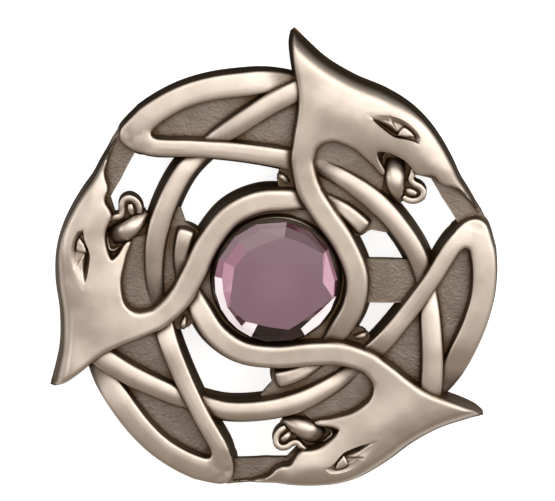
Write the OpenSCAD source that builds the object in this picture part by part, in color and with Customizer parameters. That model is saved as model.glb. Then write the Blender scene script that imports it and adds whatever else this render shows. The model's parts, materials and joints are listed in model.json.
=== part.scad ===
// Plaid brooch: a cast openwork ring of three beast heads round a cut stone.
// Every plan measure below is in millimetres on a ring 71 mm across, seen from the front.
// The sector of one head is drawn once and turned twice to fill the ring.

/* [Ring] */
// Distance across the ring of strands, without the ears
ring_d = 71; // [60:1:80]
// Height of the strands above the back
strand_top = 4; // [3.6:0.1:4.4]
// Height of the brow, the highest part of each head
brow_top = 5.3; // [5:0.1:5.8]
// Thickness of the recessed ground between the strands
ground_t = 1.3; // [1:0.1:1.6]
// How far the foot of each strand spreads past its side, from the draft of the mould
foot_spread = 0.6; // [0.4:0.05:0.8]
// How far a strand drops where another crosses over it
crossing_drop = 1.4; // [1:0.1:1.8]

/* [Head] */
// Depth of the sunken ground round the eye, below the brow
eye_depth = 1.3; // [0.9:0.1:1.6]
// Thickness of the curl beside the tongue
curl_w = 1.1; // [0.9:0.1:1.3]

/* [Stone] */
// Diameter of the stone at its girdle
stone_d = 19.6; // [19:0.1:19.8]
// Diameter of the table, across its corners
table_d = 16.6; // [14:0.2:17]
// Height of the girdle above the back of the ring
girdle_z = 4.2; // [4:0.1:4.4]
// Height of the crown above the girdle
crown_h = 1.6; // [1.2:0.1:2]
// Depth of the pavilion below the girdle
pavilion_h = 2.4; // [1.8:0.1:2.5]

/* [Cup] */
// Gap between the stone and the wall of its cup
stone_gap = 0.12; // [0.08:0.02:0.2]
// Thickness of the wall of the cup
cup_wall = 0.8; // [0.6:0.1:1]
// Thickness of the floor of the cup
cup_floor = 1.2; // [1:0.1:1.5]

/* [Pin] */
// Length of the fitting along the pin
pin_l = 42; // [38:1:44]
// Distance of the pin below the centre of the ring
pin_drop = 1.6; // [1.4:0.1:2]
// Width of the base bar
bar_w = 4; // [3.6:0.1:4.4]
// Thickness of the base bar
bar_t = 0.9; // [0.8:0.1:1.1]
// Diameter of the stem
stem_d = 1.2; // [1:0.1:1.4]
// Clear height between the bar and the stem, where the cloth lies
cloth_gap = 3; // [2.6:0.1:3.4]

/* [Hidden] */
pewter = "#b9aa98";
amethyst = "#8f6a7c";

// Plan size of this brooch against the size the tables are drawn for
k = ring_d / 71;
heads = 3;
turn = 360 / heads;

// Columns of a strand's table: plan position, width and height of the top
X = 0;
Y = 1;
WIDTH = 2;
TOP = 3;

// How far the rounded top of a strand falls from its middle to its sides
round_h = 1.1;

// Across a strand: place from side to side (-1 to 1) and part of round_h below the top
ACROSS = [
    [-1, 1],
    [-0.76, 0.32],
    [-0.3, 0.02],
    [0.3, 0.02],
    [0.76, 0.32],
    [1, 1]
];

low_top = strand_top - crossing_drop;
neck_top = strand_top + 0.3;

// Neck: from the head, round the stone, under the next neck, to a rounded end
NECK = [
    // x, y, width, top
    [4.5, 21.5, 3.0, neck_top + 0.3],
    [4.3, 19, 3.7, neck_top + 0.2],
    [5.3, 15, 3.6, neck_top],
    [7.6, 11, 3.6, neck_top],
    [10.8, 6.2, 3.6, neck_top],
    [12.5, 0.8, 3.6, neck_top],
    [12, -4, 3.5, neck_top - 0.4],
    [10.4, -7.8, 3.4, low_top + 0.4],
    [8, -11.3, 3.1, low_top],
    [4.5, -14.2, 2.8, low_top + 0.7],
    [0.8, -16.2, 2.5, low_top + 0.7],
    [-0.9, -16.9, 1.9, low_top + 0.2]
];

// Ring strand: from the corner of the leaf loop, under the neck, round the ring and under the next head
RING_STRAND = [
    // x, y, width, top
    [-23.3, 23.4, 3.0, strand_top],
    [-20, 21.9, 3.4, strand_top],
    [-13, 21.3, 3.4, strand_top + 0.4],
    [-6, 20.9, 3.4, strand_top],
    [-0.5, 20.3, 3.4, low_top + 1.2],
    [3.5, 19.4, 3.4, low_top],
    [7.2, 18.2, 3.4, low_top + 0.7],
    [11, 16.3, 3.6, strand_top],
    [15.3, 13.2, 3.7, strand_top],
    [19.4, 8.8, 3.7, strand_top],
    [22.5, 3.8, 3.6, strand_top - 0.5],
    [24.4, -0.8, 3.5, low_top],
    [25.2, -5, 3.5, strand_top - 0.5],
    [25.3, -10, 3.5, strand_top],
    [25, -15, 3.4, strand_top - 0.4],
    [24.4, -19.5, 3.4, low_top]
];

// Outer side of the leaf loop: from under the head, along the rim, to the corner
LOOP_OUTER = [
    // x, y, width, top
    [4, 30.7, 2.8, low_top],
    [0, 31.8, 3.0, low_top + 0.9],
    [-4.6, 32, 3.1, strand_top - 0.1],
    [-9.6, 31.5, 3.3, strand_top],
    [-14.7, 30, 3.4, strand_top],
    [-19, 27.6, 3.5, strand_top],
    [-22, 24.6, 3.4, strand_top],
    [-23.1, 22.8, 3.0, strand_top]
];

// Rounded corner of the leaf loop
LOOP_CORNER = [-22.9, 23.5];
corner_r = 1.6;

// Lower jaw: from the cheek to its pointed tip beside the ring strand
JAW = [
    // x, y, width, top
    [11.6, 24.2, 4.4, brow_top - 0.8],
    [13.9, 21.9, 3.4, brow_top - 1.1],
    [15.4, 19.9, 2.2, brow_top - 1.5],
    [16.4, 18.2, 1.4, brow_top - 1.9],
    [17.1, 16.8, 0.7, brow_top - 2.3]
];

// Tongue: from the mouth down to the ring strand
TONGUE = [
    // x, y, width, top
    [18.0, 19.6, 1.6, low_top],
    [18.4, 18.2, 2.6, strand_top - 0.6],
    [18.9, 16.3, 3.0, strand_top],
    [19.3, 14.4, 2.4, strand_top - 0.3],
    [19.6, 12.9, 1.2, strand_top - 0.9]
];

// Curl beside the tongue: a small hook that turns back into its own eye
CURL = [
    // x, y, top
    [20.6, 13.0, 2.8],
    [22.3, 12.7, 3.1],
    [23.4, 13.4, 3.2],
    [23.6, 14.6, 3.2],
    [22.9, 15.5, 3.1],
    [21.6, 15.7, 2.9],
    [21.1, 17.6, 2.9]
];
CURL_EYE = [
    // x, y, top
    [21.0, 14.1, 2.5],
    [22.4, 14.1, 3.2]
];

// Columns of the head's table: a point on the outer edge, the point on the inner edge that faces it,
// and the height at the outer edge, at the crown between them and at the inner edge
OUT_X = 0;
OUT_Y = 1;
IN_X = 2;
IN_Y = 3;
OUT_Z = 4;
CROWN = 5;
IN_Z = 6;

rim = brow_top - 0.8;
head_draft = foot_spread + 0.2;
HEAD = [
    // outer x, y, inner x, y, outer height, crown, inner height
    [2.4, 19.5, 6.4, 19.8, neck_top - 0.7, neck_top + 0.3, neck_top - 0.7],
    [2.5, 23, 6.3, 21.2, neck_top - 0.5, brow_top - 0.7, neck_top - 0.6],
    [3.0, 27, 6.8, 22.2, neck_top - 0.3, brow_top - 0.4, neck_top - 0.4],
    [3.3, 31, 7.4, 22.6, neck_top - 0.3, brow_top - 0.2, neck_top - 0.3],
    [2.8, 34.5, 7.9, 22.8, neck_top - 0.3, brow_top - 0.1, neck_top - 0.3],
    [2.2, 38, 8.3, 22.8, neck_top - 0.5, brow_top, neck_top - 0.3],
    [2.8, 40.4, 8.7, 22.8, neck_top - 0.9, brow_top, neck_top - 0.3],
    [4.6, 38.6, 9.2, 22.7, neck_top, brow_top, neck_top - 0.2],
    [8, 35.5, 10.2, 22.4, rim, brow_top, neck_top],
    [12.5, 32.8, 11.8, 21.9, rim, brow_top, neck_top],
    [17.6, 30.6, 13.8, 21.6, rim, brow_top, neck_top],
    [21.4, 28.2, 16, 21.5, rim, brow_top, neck_top],
    [24.3, 25.4, 18.3, 21.0, rim, brow_top - 0.1, neck_top],
    [26.5, 22.3, 20.4, 19.6, rim - 0.2, brow_top - 0.3, neck_top - 0.2],
    [28.2, 19.2, 22.4, 17.9, rim - 0.4, brow_top - 0.6, neck_top - 0.4],
    [29.3, 16.7, 25.2, 17.3, rim - 0.8, brow_top - 1.2, neck_top - 0.7],
    [30.6, 14.6, 26.9, 15.8, rim - 1.3, brow_top - 1.8, neck_top - 1.1],
    [31.8, 12.5, 29.4, 14.4, rim - 1.8, brow_top - 2.4, neck_top - 1.5],
    [32.8, 10.9, 31.2, 12.2, rim - 2.4, brow_top - 3.1, neck_top - 2]
];
// Across the head: places from the inner edge (0) to the outer edge (1)
HEAD_ACROSS = [0, 0.09, 0.24, 0.45, 0.68, 0.9, 1];

// Ground plates, as plan outlines that run under the strands beside them
LOOP_GROUND = [[-23.5, 23.5], [-22, 26], [-17, 29.5], [-9, 32], [4, 32], [7, 21], [3, 19.5], [-8, 21.2], [-20, 21.6]];
THROAT_GROUND = [[3.5, 20], [6, 25], [14, 24], [20.5, 21.5], [22.3, 18.5], [21.4, 15.6], [20.2, 12.2], [15, 13.5], [8, 17]];
STUB_GROUND = [[5, 17.5], [12, 16.5], [17.5, 11.5], [17.8, 7.4], [15.2, 7.9], [12, 6.6], [9, 9]];
SNOUT_GROUND = [[21.2, 18.5], [21.5, 16.9], [24.6, 16.2], [26.3, 13.2], [28.6, 9.6], [31.5, 6.5], [33.8, 9.2], [31.9, 12.4], [28.5, 18]];
HINGE_GROUND = [[13, 2.7], [22, 2.4], [22.5, -4.6], [13, -4.6]];

// Eye: two arcs that meet at the corners, and the raised ball as three overlapping beads
eye_from = [14.6, 27.3];
eye_to = [22.9, 22.6];
eye_w = 2.6;
EYE_BALL = [[18.2, 25.4], [19.6, 24.5], [21, 24]];
ball_r = 0.75;

// Cup and stone
stone_r = stone_d / 2;
cup_r = stone_r + stone_gap;
cup_rim_z = girdle_z + 0.2;
disc_r = cup_r + 3.4;
culet_z = girdle_z - pavilion_h;
crown_sides = 8;
girdle_t = 0.3;
first_corner = 33;

// Pin fitting, measured from the back of the ring
bar_gap = 0.1;
stem_z = -(bar_gap + bar_t + cloth_gap + stem_d / 2);
lug_r = stem_d / 2 + 0.9;
lug_w = 3.4;
pin_y = -pin_drop;
pin_reach = pin_l / 2;

// Resting on the pin fitting and on the tip of one ear
ear_y = 40.4 * k;
rest_reach = ear_y - pin_y;
rest_tilt = asin(lug_r / norm([rest_reach, stem_z])) + atan(-stem_z / rest_reach);

// Middle of the brooch's outline at rest, seen from above, beside the centre of its ring
outline_middle = [-0.27, 3.12];

// One value of a smooth curve through the rows b and c of a table, for all its columns at once
function between(a, b, c, d, t) =
    0.5 * (2 * b + (c - a) * t + (2 * a - 5 * b + 4 * c - d) * t * t + (3 * b - a - 3 * c + d) * t * t * t);

// The rows of a table with a number of steps from each row to the next
function smooth(rows, steps) =
    let (last = len(rows) - 1)
    concat(
        [for (i = [0 : last - 1], j = [0 : steps - 1])
            between(rows[max(i - 1, 0)], rows[i], rows[i + 1], rows[min(i + 2, last)], j / steps)],
        [rows[last]]
    );

// Unit vector square to the run of a table at row i, in plan
function across(rows, i) =
    let (
        a = rows[max(i - 1, 0)],
        b = rows[min(i + 1, len(rows) - 1)],
        run = [b[X] - a[X], b[Y] - a[Y]]
    )
    [-run[1], run[0]] / norm(run);

// One section of a strand: a foot, the rounded top and the other foot
function strand_section(row, side) =
    let (
        half = row[WIDTH] / 2,
        foot = half + foot_spread,
        here = [row[X], row[Y], 0],
        out = [side[0], side[1], 0]
    )
    concat(
        [here - out * foot],
        [for (p = ACROSS) here + out * half * p[0] + [0, 0, row[TOP] - round_h * p[1]]],
        [here + out * foot]
    );

// Faces that join equal sections one after another into a closed solid
function loft_faces(sections, points) = concat(
    [[for (j = [points - 1 : -1 : 0]) j]],
    [for (i = [0 : sections - 2], j = [0 : points - 1])
        let (a = i * points + j, b = i * points + (j + 1) % points)
        [a, b, b + points, a + points]],
    [[for (j = [0 : points - 1]) (sections - 1) * points + j]]
);

// A solid through equal sections
module loft(sections) {
    polyhedron(
        points = [for (s = sections, p = s) [p[0] * k, p[1] * k, p[2]]],
        faces = loft_faces(len(sections), len(sections[0])),
        convexity = 6
    );
}

// A strand along a table of position, width and top
module strand(rows, steps) {
    run = smooth(rows, steps);
    loft([for (i = [0 : len(run) - 1]) strand_section(run[i], across(run, i))]);
}

// One section of the head, from its inner edge to its outer edge
function head_section(row) =
    let (
        outer = [row[OUT_X], row[OUT_Y]],
        inner = [row[IN_X], row[IN_Y]],
        out = (outer - inner) / norm(outer - inner)
    )
    concat(
        [concat(inner - out * foot_spread * 0.5, 0)],
        [for (f = HEAD_ACROSS)
            let (
                edge = row[IN_Z] * (1 - f) + row[OUT_Z] * f,
                lift = pow(abs(sin(180 * f)), 0.6),
                p = inner * (1 - f) + (outer - out * head_draft) * f
            )
            [p[0], p[1], edge + (row[CROWN] - edge) * lift]],
        [concat(outer, 0)]
    );

// The head with its ear and snout, before the eye is cut
module head_form() {
    run = smooth(HEAD, 2);
    loft([for (row = run) head_section(row)]);
}

// Plan of the eye
module eye_plan() {
    span = eye_to - eye_from;
    reach = norm(span) / 2;
    arc_r = (reach * reach + eye_w * eye_w / 4) / eye_w;
    translate(eye_from * k)
        rotate(atan2(span[1], span[0]))
            scale(k)
                intersection() {
                    translate([reach, eye_w / 2 - arc_r])
                        circle(r = arc_r, $fn = 60);
                    translate([reach, arc_r - eye_w / 2])
                        circle(r = arc_r, $fn = 60);
                }
}

// The head with the sunken eye and its raised ball
module head() {
    difference() {
        head_form();
        translate([0, 0, brow_top - eye_depth])
            linear_extrude(height = brow_top)
                eye_plan();
    }
    hull()
        for (p = EYE_BALL)
            translate([p[X] * k, p[Y] * k, brow_top - eye_depth])
                scale([1, 1, 0.8])
                    sphere(r = ball_r, $fn = 10);
}

// A curl along a table of position and top, as overlapping rounded bars
module curl(rows) {
    for (i = [0 : len(rows) - 2])
        hull()
            for (p = [rows[i], rows[i + 1]])
                translate([p[0] * k, p[1] * k, 0]) {
                    cylinder(d = curl_w, h = p[2] - 0.4, $fn = 8);
                    cylinder(d = curl_w * 0.5, h = p[2], $fn = 8);
                }
}

// A flat plate of ground
module ground(outline) {
    linear_extrude(height = ground_t)
        scale(k)
            polygon(outline);
}

// Everything that belongs to one head, in its own third of the ring
module sector() {
    head();
    strand(NECK, 2);
    strand(RING_STRAND, 2);
    strand(LOOP_OUTER, 2);
    loop_corner();
    strand(JAW, 1);
    strand(TONGUE, 1);
    curl(CURL);
    curl(CURL_EYE);
    ground(LOOP_GROUND);
    ground(THROAT_GROUND);
    ground(STUB_GROUND);
    ground(SNOUT_GROUND);
}

// The rounded corner where the two sides of the leaf loop meet
module loop_corner() {
    translate([LOOP_CORNER[X] * k, LOOP_CORNER[Y] * k, 0])
        hull() {
            cylinder(r = corner_r + foot_spread, h = 0.2, $fn = 24);
            cylinder(r = corner_r, h = strand_top - round_h, $fn = 24);
            cylinder(r = corner_r * 0.5, h = strand_top, $fn = 24);
        }
}

// The round cup under the stone, on a disc of ground that reaches the necks round it
module cup() {
    cylinder(r = disc_r, h = ground_t, $fn = 48);
    difference() {
        cylinder(r = cup_r + cup_wall, h = cup_rim_z, $fn = 48);
        translate([0, 0, cup_floor])
            cylinder(r = cup_r, h = cup_rim_z, $fn = 48);
    }
}

// Lays the brooch on its pin fitting and the tip of the upper ear, with its middle over the origin
module resting() {
    translate([-outline_middle[X] * k, -outline_middle[Y] * k, ear_y * sin(rest_tilt)])
        rotate([-rest_tilt, 0, 0])
            children();
}

// The cast body
module casting() {
    color(pewter)
        resting()
            difference() {
                union() {
                    for (i = [0 : heads - 1])
                        rotate(i * turn)
                            sector();
                    ground(HINGE_GROUND);
                    cup();
                }
                translate([0, 0, cup_floor])
                    cylinder(r = cup_r, h = brow_top * 2, $fn = 48);
            }
}

// Points of a level ring of the stone
function stone_ring(r, z, sides) =
    [for (i = [0 : sides - 1]) [r * cos(first_corner + i * 360 / sides), r * sin(first_corner + i * 360 / sides), z]];

// The cut stone: octagonal table, crown, thin girdle and pavilion
module stone() {
    n = crown_sides;
    sides = n * 2;
    upper = n;
    lower = n + sides;
    culet = n + 2 * sides;
    points = concat(
        stone_ring(table_d / 2, girdle_z + crown_h, n),
        stone_ring(stone_r, girdle_z, sides),
        stone_ring(stone_r, girdle_z - girdle_t, sides),
        [[0, 0, culet_z]]
    );
    table = [for (i = [n - 1 : -1 : 0]) i];
    crown = [for (i = [0 : n - 1]) let (j = (i + 1) % n) each [
        [i, j, upper + 2 * i + 1],
        [i, upper + 2 * i + 1, upper + 2 * i],
        [j, upper + (2 * i + 2) % sides, upper + 2 * i + 1]
    ]];
    girdle = [for (i = [0 : sides - 1]) let (j = (i + 1) % sides) [upper + i, upper + j, lower + j, lower + i]];
    pavilion = [for (i = [0 : sides - 1]) [lower + i, lower + (i + 1) % sides, culet]];
    color(amethyst)
        resting()
            polyhedron(points = points, faces = concat([table], crown, girdle, pavilion));
}

// The pin fitting: base bar, hinge, stem and catch in one piece
module brooch_pin() {
    color("silver")
        resting()
            union() {
                translate([-pin_reach, pin_y - bar_w / 2, -bar_gap - bar_t])
                    cube([pin_l, bar_w, bar_t]);
                for (side = [-1, 1])
                    translate([side * (pin_reach - lug_w / 2) - lug_w / 2, 0, 0]) {
                        translate([0, pin_y - lug_r, stem_z])
                            cube([lug_w, lug_r * 2, -stem_z - bar_gap - bar_t / 2]);
                        translate([0, pin_y, stem_z])
                            rotate([0, 90, 0])
                                cylinder(r = lug_r, h = lug_w, $fn = 48);
                    }
                translate([-pin_reach + lug_w / 2, pin_y, stem_z])
                    rotate([0, 90, 0])
                        cylinder(d = stem_d, h = pin_l - lug_w, $fn = 32);
            }
}

casting();
stone();
brooch_pin();
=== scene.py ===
# %% [markdown]
# # A plaid brooch, one cell at a time
#
# A plaid brooch is a heavy openwork ring that holds a cloak or plaid on the shoulder. This one is cast
# in one piece of pewter: three beast heads, whose necks curl round a cut stone, with strands that pass
# over and under each other. The plain solids and their sizes come from the imported model, and this file
# gives each of them the shape and the finish that the eye sees.
#
# The first cell loads the imported model as a fixed frame.

# %% Load the imported model
import json
import math

import bpy
import numpy as np
from mathutils import Matrix, Vector
from mathutils.geometry import delaunay_2d_cdt

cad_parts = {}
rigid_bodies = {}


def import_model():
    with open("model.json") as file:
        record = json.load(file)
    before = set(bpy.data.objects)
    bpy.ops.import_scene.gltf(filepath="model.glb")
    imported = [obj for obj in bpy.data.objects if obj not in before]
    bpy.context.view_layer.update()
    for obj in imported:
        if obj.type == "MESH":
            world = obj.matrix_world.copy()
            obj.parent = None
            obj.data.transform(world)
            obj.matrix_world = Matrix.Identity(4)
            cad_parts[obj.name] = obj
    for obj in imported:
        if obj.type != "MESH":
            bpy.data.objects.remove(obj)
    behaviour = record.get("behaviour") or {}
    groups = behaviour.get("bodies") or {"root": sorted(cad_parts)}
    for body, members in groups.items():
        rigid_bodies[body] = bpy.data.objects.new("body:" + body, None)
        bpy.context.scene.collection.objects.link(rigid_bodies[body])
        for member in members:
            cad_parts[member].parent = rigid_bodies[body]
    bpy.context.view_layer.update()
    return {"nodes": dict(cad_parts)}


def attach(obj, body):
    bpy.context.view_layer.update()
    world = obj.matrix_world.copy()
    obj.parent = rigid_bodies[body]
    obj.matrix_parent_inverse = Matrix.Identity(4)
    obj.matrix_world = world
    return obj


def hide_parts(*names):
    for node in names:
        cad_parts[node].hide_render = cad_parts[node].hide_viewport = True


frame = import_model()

print("nodes:", sorted(frame["nodes"]))

# %% [markdown]
# ## How the brooch lies
#
# The brooch is drawn flat, in millimetres, with the middle of its ring at the origin and its back at
# height 0. On a table it rests on the two barrels of its pin fitting and on the tip of its upper ear, so
# the whole of it leans back a little. One matrix holds that lean. Every piece is made flat, where it is
# easy to measure, and is laid down with this matrix at the end.

# %% The matrix that lays the brooch down
MM = 0.001
# All of these are in millimetres on the flat brooch
EAR_Y = 40.4
PIN_Y = -1.6
PIN_DEPTH = 4.6
LUG_R = 1.5
OUTLINE_MIDDLE = (-0.27, 3.12)

ear_reach = EAR_Y - PIN_Y
lean = math.asin(LUG_R / math.hypot(ear_reach, PIN_DEPTH)) + math.atan(PIN_DEPTH / ear_reach)
lift = EAR_Y * math.sin(lean)
lay_down = (
    Matrix.Scale(MM, 4)
    @ Matrix.Translation((-OUTLINE_MIDDLE[0], -OUTLINE_MIDDLE[1], lift))
    @ Matrix.Rotation(-lean, 4, "X")
)
brooch_up = (lay_down.to_3x3() @ Vector((0, 0, 1))).normalized()
print("lean in degrees:", round(math.degrees(lean), 3), "lift in mm:", round(lift, 3))

# %% [markdown]
# ## Camera
#
# The photograph looks almost straight at the face, from about eleven degrees above it, through a long
# lens, so that the three heads keep the same size. The camera stands 610 mm away. Its height over the
# face is added to the lean of the brooch, so the brooch is seen as in the photograph.

# %% Place the camera
PIXELS_WIDE = 555
PIXEL_MM = 0.16
CAMERA_MM = 610
SENSOR_MM = 36
ABOVE_FACE = 11
AIM = (0.23, 4.18)


def add_object(name, data):
    """A new object in the scene."""
    made = bpy.data.objects.new(name, data)
    bpy.context.scene.collection.objects.link(made)
    return made


view_angle = lean + math.radians(ABOVE_FACE)
right = Vector((1, 0, 0))
up = Vector((0, math.cos(view_angle), -math.sin(view_angle)))
back = Vector((0, math.sin(view_angle), math.cos(view_angle)))
target = lay_down @ Vector((0, 0, 0)) + right * AIM[0] * MM + up * AIM[1] * MM
camera_data = bpy.data.cameras.new("camera")
camera_data.sensor_width = SENSOR_MM
camera_data.lens = CAMERA_MM / PIXEL_MM / PIXELS_WIDE * SENSOR_MM
camera_data.clip_start = 0.01
camera_data.clip_end = 10
camera = add_object("camera", camera_data)
axes = Matrix((right, up, back)).transposed().to_4x4()
camera.matrix_world = Matrix.Translation(target + back * CAMERA_MM * MM) @ axes
bpy.context.scene.camera = camera
print("lens in mm:", round(camera_data.lens, 1))

# %% [markdown]
# ## Floor and lights
#
# Polished metal has hardly any colour of its own: what it shows is the room. Broad soft lights are used
# and no small ones, because a small light would leave hard white spots on every strand. The widest one
# stands beyond the upper ear and draws the bright line along the upper side of each strand.

# %% Floor and lights
FLOOR_HALF = 1.5
floor_data = bpy.data.meshes.new("floor")
floor_corners = [(FLOOR_HALF * x, FLOOR_HALF * y, 0) for x, y in ((-1, -1), (1, -1), (1, 1), (-1, 1))]
floor_data.from_pydata(floor_corners, [], [(0, 1, 2, 3)])
floor = add_object("floor", floor_data)

SOFTBOXES = [
    # name, direction to the light (x, y, z), distance, width, height, power, colour
    ("light_over", (0.05, 0.3, 1.0), 0.7, 0.8, 0.5, 1.03, (1.0, 0.98, 0.96)),
    ("light_top", (0.2, 1.0, 0.7), 0.6, 0.85, 0.52, 1.75, (1.0, 0.97, 0.93)),
    ("light_right", (1.0, 0.35, 0.65), 0.6, 0.42, 0.6, 1.1, (1.0, 0.98, 0.96)),
    ("light_left", (-0.9, 0.2, 0.5), 0.6, 0.3, 0.35, 0.4, (0.98, 0.98, 1.0)),
]
for name, direction, distance, wide, high, power, colour in SOFTBOXES:
    light_data = bpy.data.lights.new(name, "AREA")
    light_data.shape = "RECTANGLE"
    light_data.size = wide
    light_data.size_y = high
    light_data.energy = power
    light_data.color = colour
    light = add_object(name, light_data)
    towards = Vector(direction).normalized()
    light.location = target + towards * distance
    light.rotation_euler = towards.to_track_quat("Z", "Y").to_euler()
print("lights:", len(SOFTBOXES))

# %% [markdown]
# ## Node helpers
#
# The room's glow and all materials are built from nodes. These helpers place a node, set its options and
# fill its sockets, and do the few sums that come back everywhere.

# %% Place nodes and mix their values
def place(tree, kind, options=None, sockets=None):
    """Adds a node; each socket takes a plain value or a link from another node."""
    node = tree.nodes.new(kind)
    for key, value in (options or {}).items():
        setattr(node, key, value)
    for key, value in (sockets or {}).items():
        if isinstance(value, bpy.types.NodeSocket):
            tree.links.new(value, node.inputs[key])
        else:
            node.inputs[key].default_value = value
    return node


def math_node(tree, how, a, b=0.0):
    """A Math node's result."""
    return place(tree, "ShaderNodeMath", {"operation": how}, {0: a, 1: b}).outputs[0]


def remap(tree, value, low, high, to_low=0.0, to_high=1.0):
    """A value moved smoothly from one range to another, without leaving it."""
    return place(tree, "ShaderNodeMapRange", {"interpolation_type": "SMOOTHSTEP"}, {
        "Value": value, "From Min": low, "From Max": high, "To Min": to_low, "To Max": to_high,
    }).outputs[0]


def mix_colour(tree, share, a, b):
    """Two colours mixed by a share."""
    return place(tree, "ShaderNodeMix", {"data_type": "RGBA"}, {0: share, 6: a, 7: b}).outputs[2]


# %% [markdown]
# ## The dim room
#
# Around the lights the room glows softly. It is dimmer and warmer towards the bottom of the picture, so
# that the lower side of every strand turns brown. Beyond the upper ear it is nearly dark low down, so that
# the outer walls, which mirror that part of it, stay dark.

# %% The room's glow
ROOM_DIM = 0.28
ROOM_BRIGHT = 0.62
HORIZON_DARK = 0.9
ROOM_WARM = (1.0, 0.86, 0.74, 1)
ROOM_COOL = (1.0, 0.98, 0.96, 1)
# Where each change begins and ends, by how far a direction points to the side of the upper ear, or up
DARK_BEYOND = (0.0, 0.5)
DARK_LOW = (0.45, 0.1)
DIM_TO_BRIGHT = (-0.3, 0.5)
WARM_TO_COOL = (-0.3, 0.3)
world = bpy.data.worlds.new("room")
world.use_nodes = True
room = world.node_tree
ways = place(room, "ShaderNodeSeparateXYZ", {}, {0: place(room, "ShaderNodeTexCoord").outputs["Generated"]})
beyond, above = ways.outputs["Y"], ways.outputs["Z"]
horizon = math_node(room, "MULTIPLY", remap(room, beyond, *DARK_BEYOND), remap(room, above, *DARK_LOW))
brightness = remap(room, beyond, *DIM_TO_BRIGHT, ROOM_DIM, ROOM_BRIGHT)
brightness = math_node(room, "MULTIPLY", brightness, remap(room, horizon, 0.0, 1.0, 1.0, 1.0 - HORIZON_DARK))
tint = mix_colour(room, remap(room, beyond, *WARM_TO_COOL), ROOM_WARM, ROOM_COOL)
room.links.new(tint, room.nodes["Background"].inputs["Color"])
room.links.new(brightness, room.nodes["Background"].inputs["Strength"])
bpy.context.scene.world = world
bpy.context.scene.view_settings.view_transform = "Standard"

# %% [markdown]
# ## Smooth lines from short tables
#
# A caster's pattern is drawn with a few well placed points and a bent spline between them. The same is
# done here: a table holds a few rows, and a smooth curve runs through all of its columns at once, so that
# the width and the height of a strand change as smoothly as its path.

# %% A smooth curve through the rows of a table
def smooth(rows, step):
    """Points about one step apart on a curve through all rows; every column is carried along."""
    rows = np.asarray(rows, float)
    gaps = np.sqrt(np.linalg.norm(np.diff(rows[:, :2], axis=0), axis=1))
    slopes = np.diff(rows, axis=0) / gaps[:, None]
    inner = (slopes[1:] * gaps[:-1, None] + slopes[:-1] * gaps[1:, None]) / (gaps[1:] + gaps[:-1])[:, None]
    tangents = np.vstack([slopes[:1], inner, slopes[-1:]])
    parts = []
    for i, gap in enumerate(gaps):
        count = max(1, round(gap * gap / step))
        t = (np.arange(count) / count)[:, None]
        parts.append(
            (2 * t**3 - 3 * t**2 + 1) * rows[i] + (t**3 - 2 * t**2 + t) * gap * tangents[i]
            + (3 * t**2 - 2 * t**3) * rows[i + 1] + (t**3 - t**2) * gap * tangents[i + 1]
        )
    return np.vstack(parts + [rows[-1:]])


def side_normals(line, closed=False):
    """Unit vectors to the left of a line, one for each point."""
    if closed:
        run = np.roll(line[:, :2], -1, axis=0) - np.roll(line[:, :2], 1, axis=0)
    else:
        run = np.gradient(line[:, :2], axis=0)
    run /= np.linalg.norm(run, axis=1)[:, None] + 1e-12
    return np.c_[-run[:, 1], run[:, 0]]


# %% [markdown]
# ## Distances
#
# The rounding of an edge, the slope of a mould wall and the height of a strand all depend on how far a
# point lies from some line. These helpers answer that for thousands of points, one batch after another.

# %% Distance to an outline, inside or outside, and values carried over from near rows
BATCH = 1500
NEAREST = 0.05


def distance_to(points, line, closed=True):
    """Shortest distance of each point to a line."""
    start = line if closed else line[:-1]
    run = (np.roll(line, -1, axis=0) if closed else line[1:]) - start
    length = (run**2).sum(1) + 1e-12
    found = np.empty(len(points))
    for low in range(0, len(points), BATCH):
        offset = points[low:low + BATCH, None] - start
        t = np.clip((offset * run).sum(2) / length, 0, 1)
        found[low:low + BATCH] = np.sqrt(((offset - t[..., None] * run) ** 2).sum(2).min(1))
    return found


def inside(points, outline):
    """True for each point within a closed outline."""
    x, y = points[:, :1], points[:, 1:]
    ax, ay = outline.T
    bx, by = np.roll(outline, -1, axis=0).T
    crosses = ((ay > y) != (by > y)) & (x < (bx - ax) * (y - ay) / (by - ay + 1e-12) + ax)
    return crosses.sum(1) % 2 == 1


def nearest_values(points, rows, column):
    """One column of a dense table at each point: the nearest rows weigh by far the most."""
    found = np.empty(len(points))
    for low in range(0, len(points), BATCH):
        gap = ((points[low:low + BATCH, None] - rows[:, :2]) ** 2).sum(2)
        weight = 1 / (gap + NEAREST) ** 3
        found[low:low + BATCH] = (weight * rows[:, column]).sum(1) / weight.sum(1)
    return found


# %% [markdown]
# ## Relief: a solid from an outline and a height
#
# A cast relief is a sheet of metal with a worked face, walls that lean out so that it leaves the mould,
# and a flat back. A section carried along a path would do for a strand, but not for a head, whose shape
# changes all the way. So a head is given by its outline and by a height for each point inside it. First
# comes how far each wall can lean before it meets the wall opposite, as in the tight corner between jaw
# and throat.

# %% How far the walls lean
FLARE = [
    # share of the way out, share of the way down
    (0.08, 0.3), (0.3, 0.65), (1.0, 1.0),
]
SPREAD_MET = 0.96
SPREAD_LESS = 0.75
SPREAD_SPARE = 0.8
SPREAD_TRIES = 9
SPREAD_ROUNDS = 3


def clear_spread(outline, normals, spread):
    """How far each outline point can move outwards before it meets another part of the outline."""
    reach = spread.copy()
    tight = np.zeros(len(outline), bool)
    for _ in range(SPREAD_TRIES):
        moved = outline - normals * reach[:, None]
        short = distance_to(moved, outline) < reach * SPREAD_MET
        reach[short] *= SPREAD_LESS
        tight |= short
    reach[tight] *= SPREAD_SPARE
    for _ in range(SPREAD_ROUNDS):
        reach = np.minimum(reach, (np.roll(reach, 1) + np.roll(reach, -1) + reach) / 3)
    return reach


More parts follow.
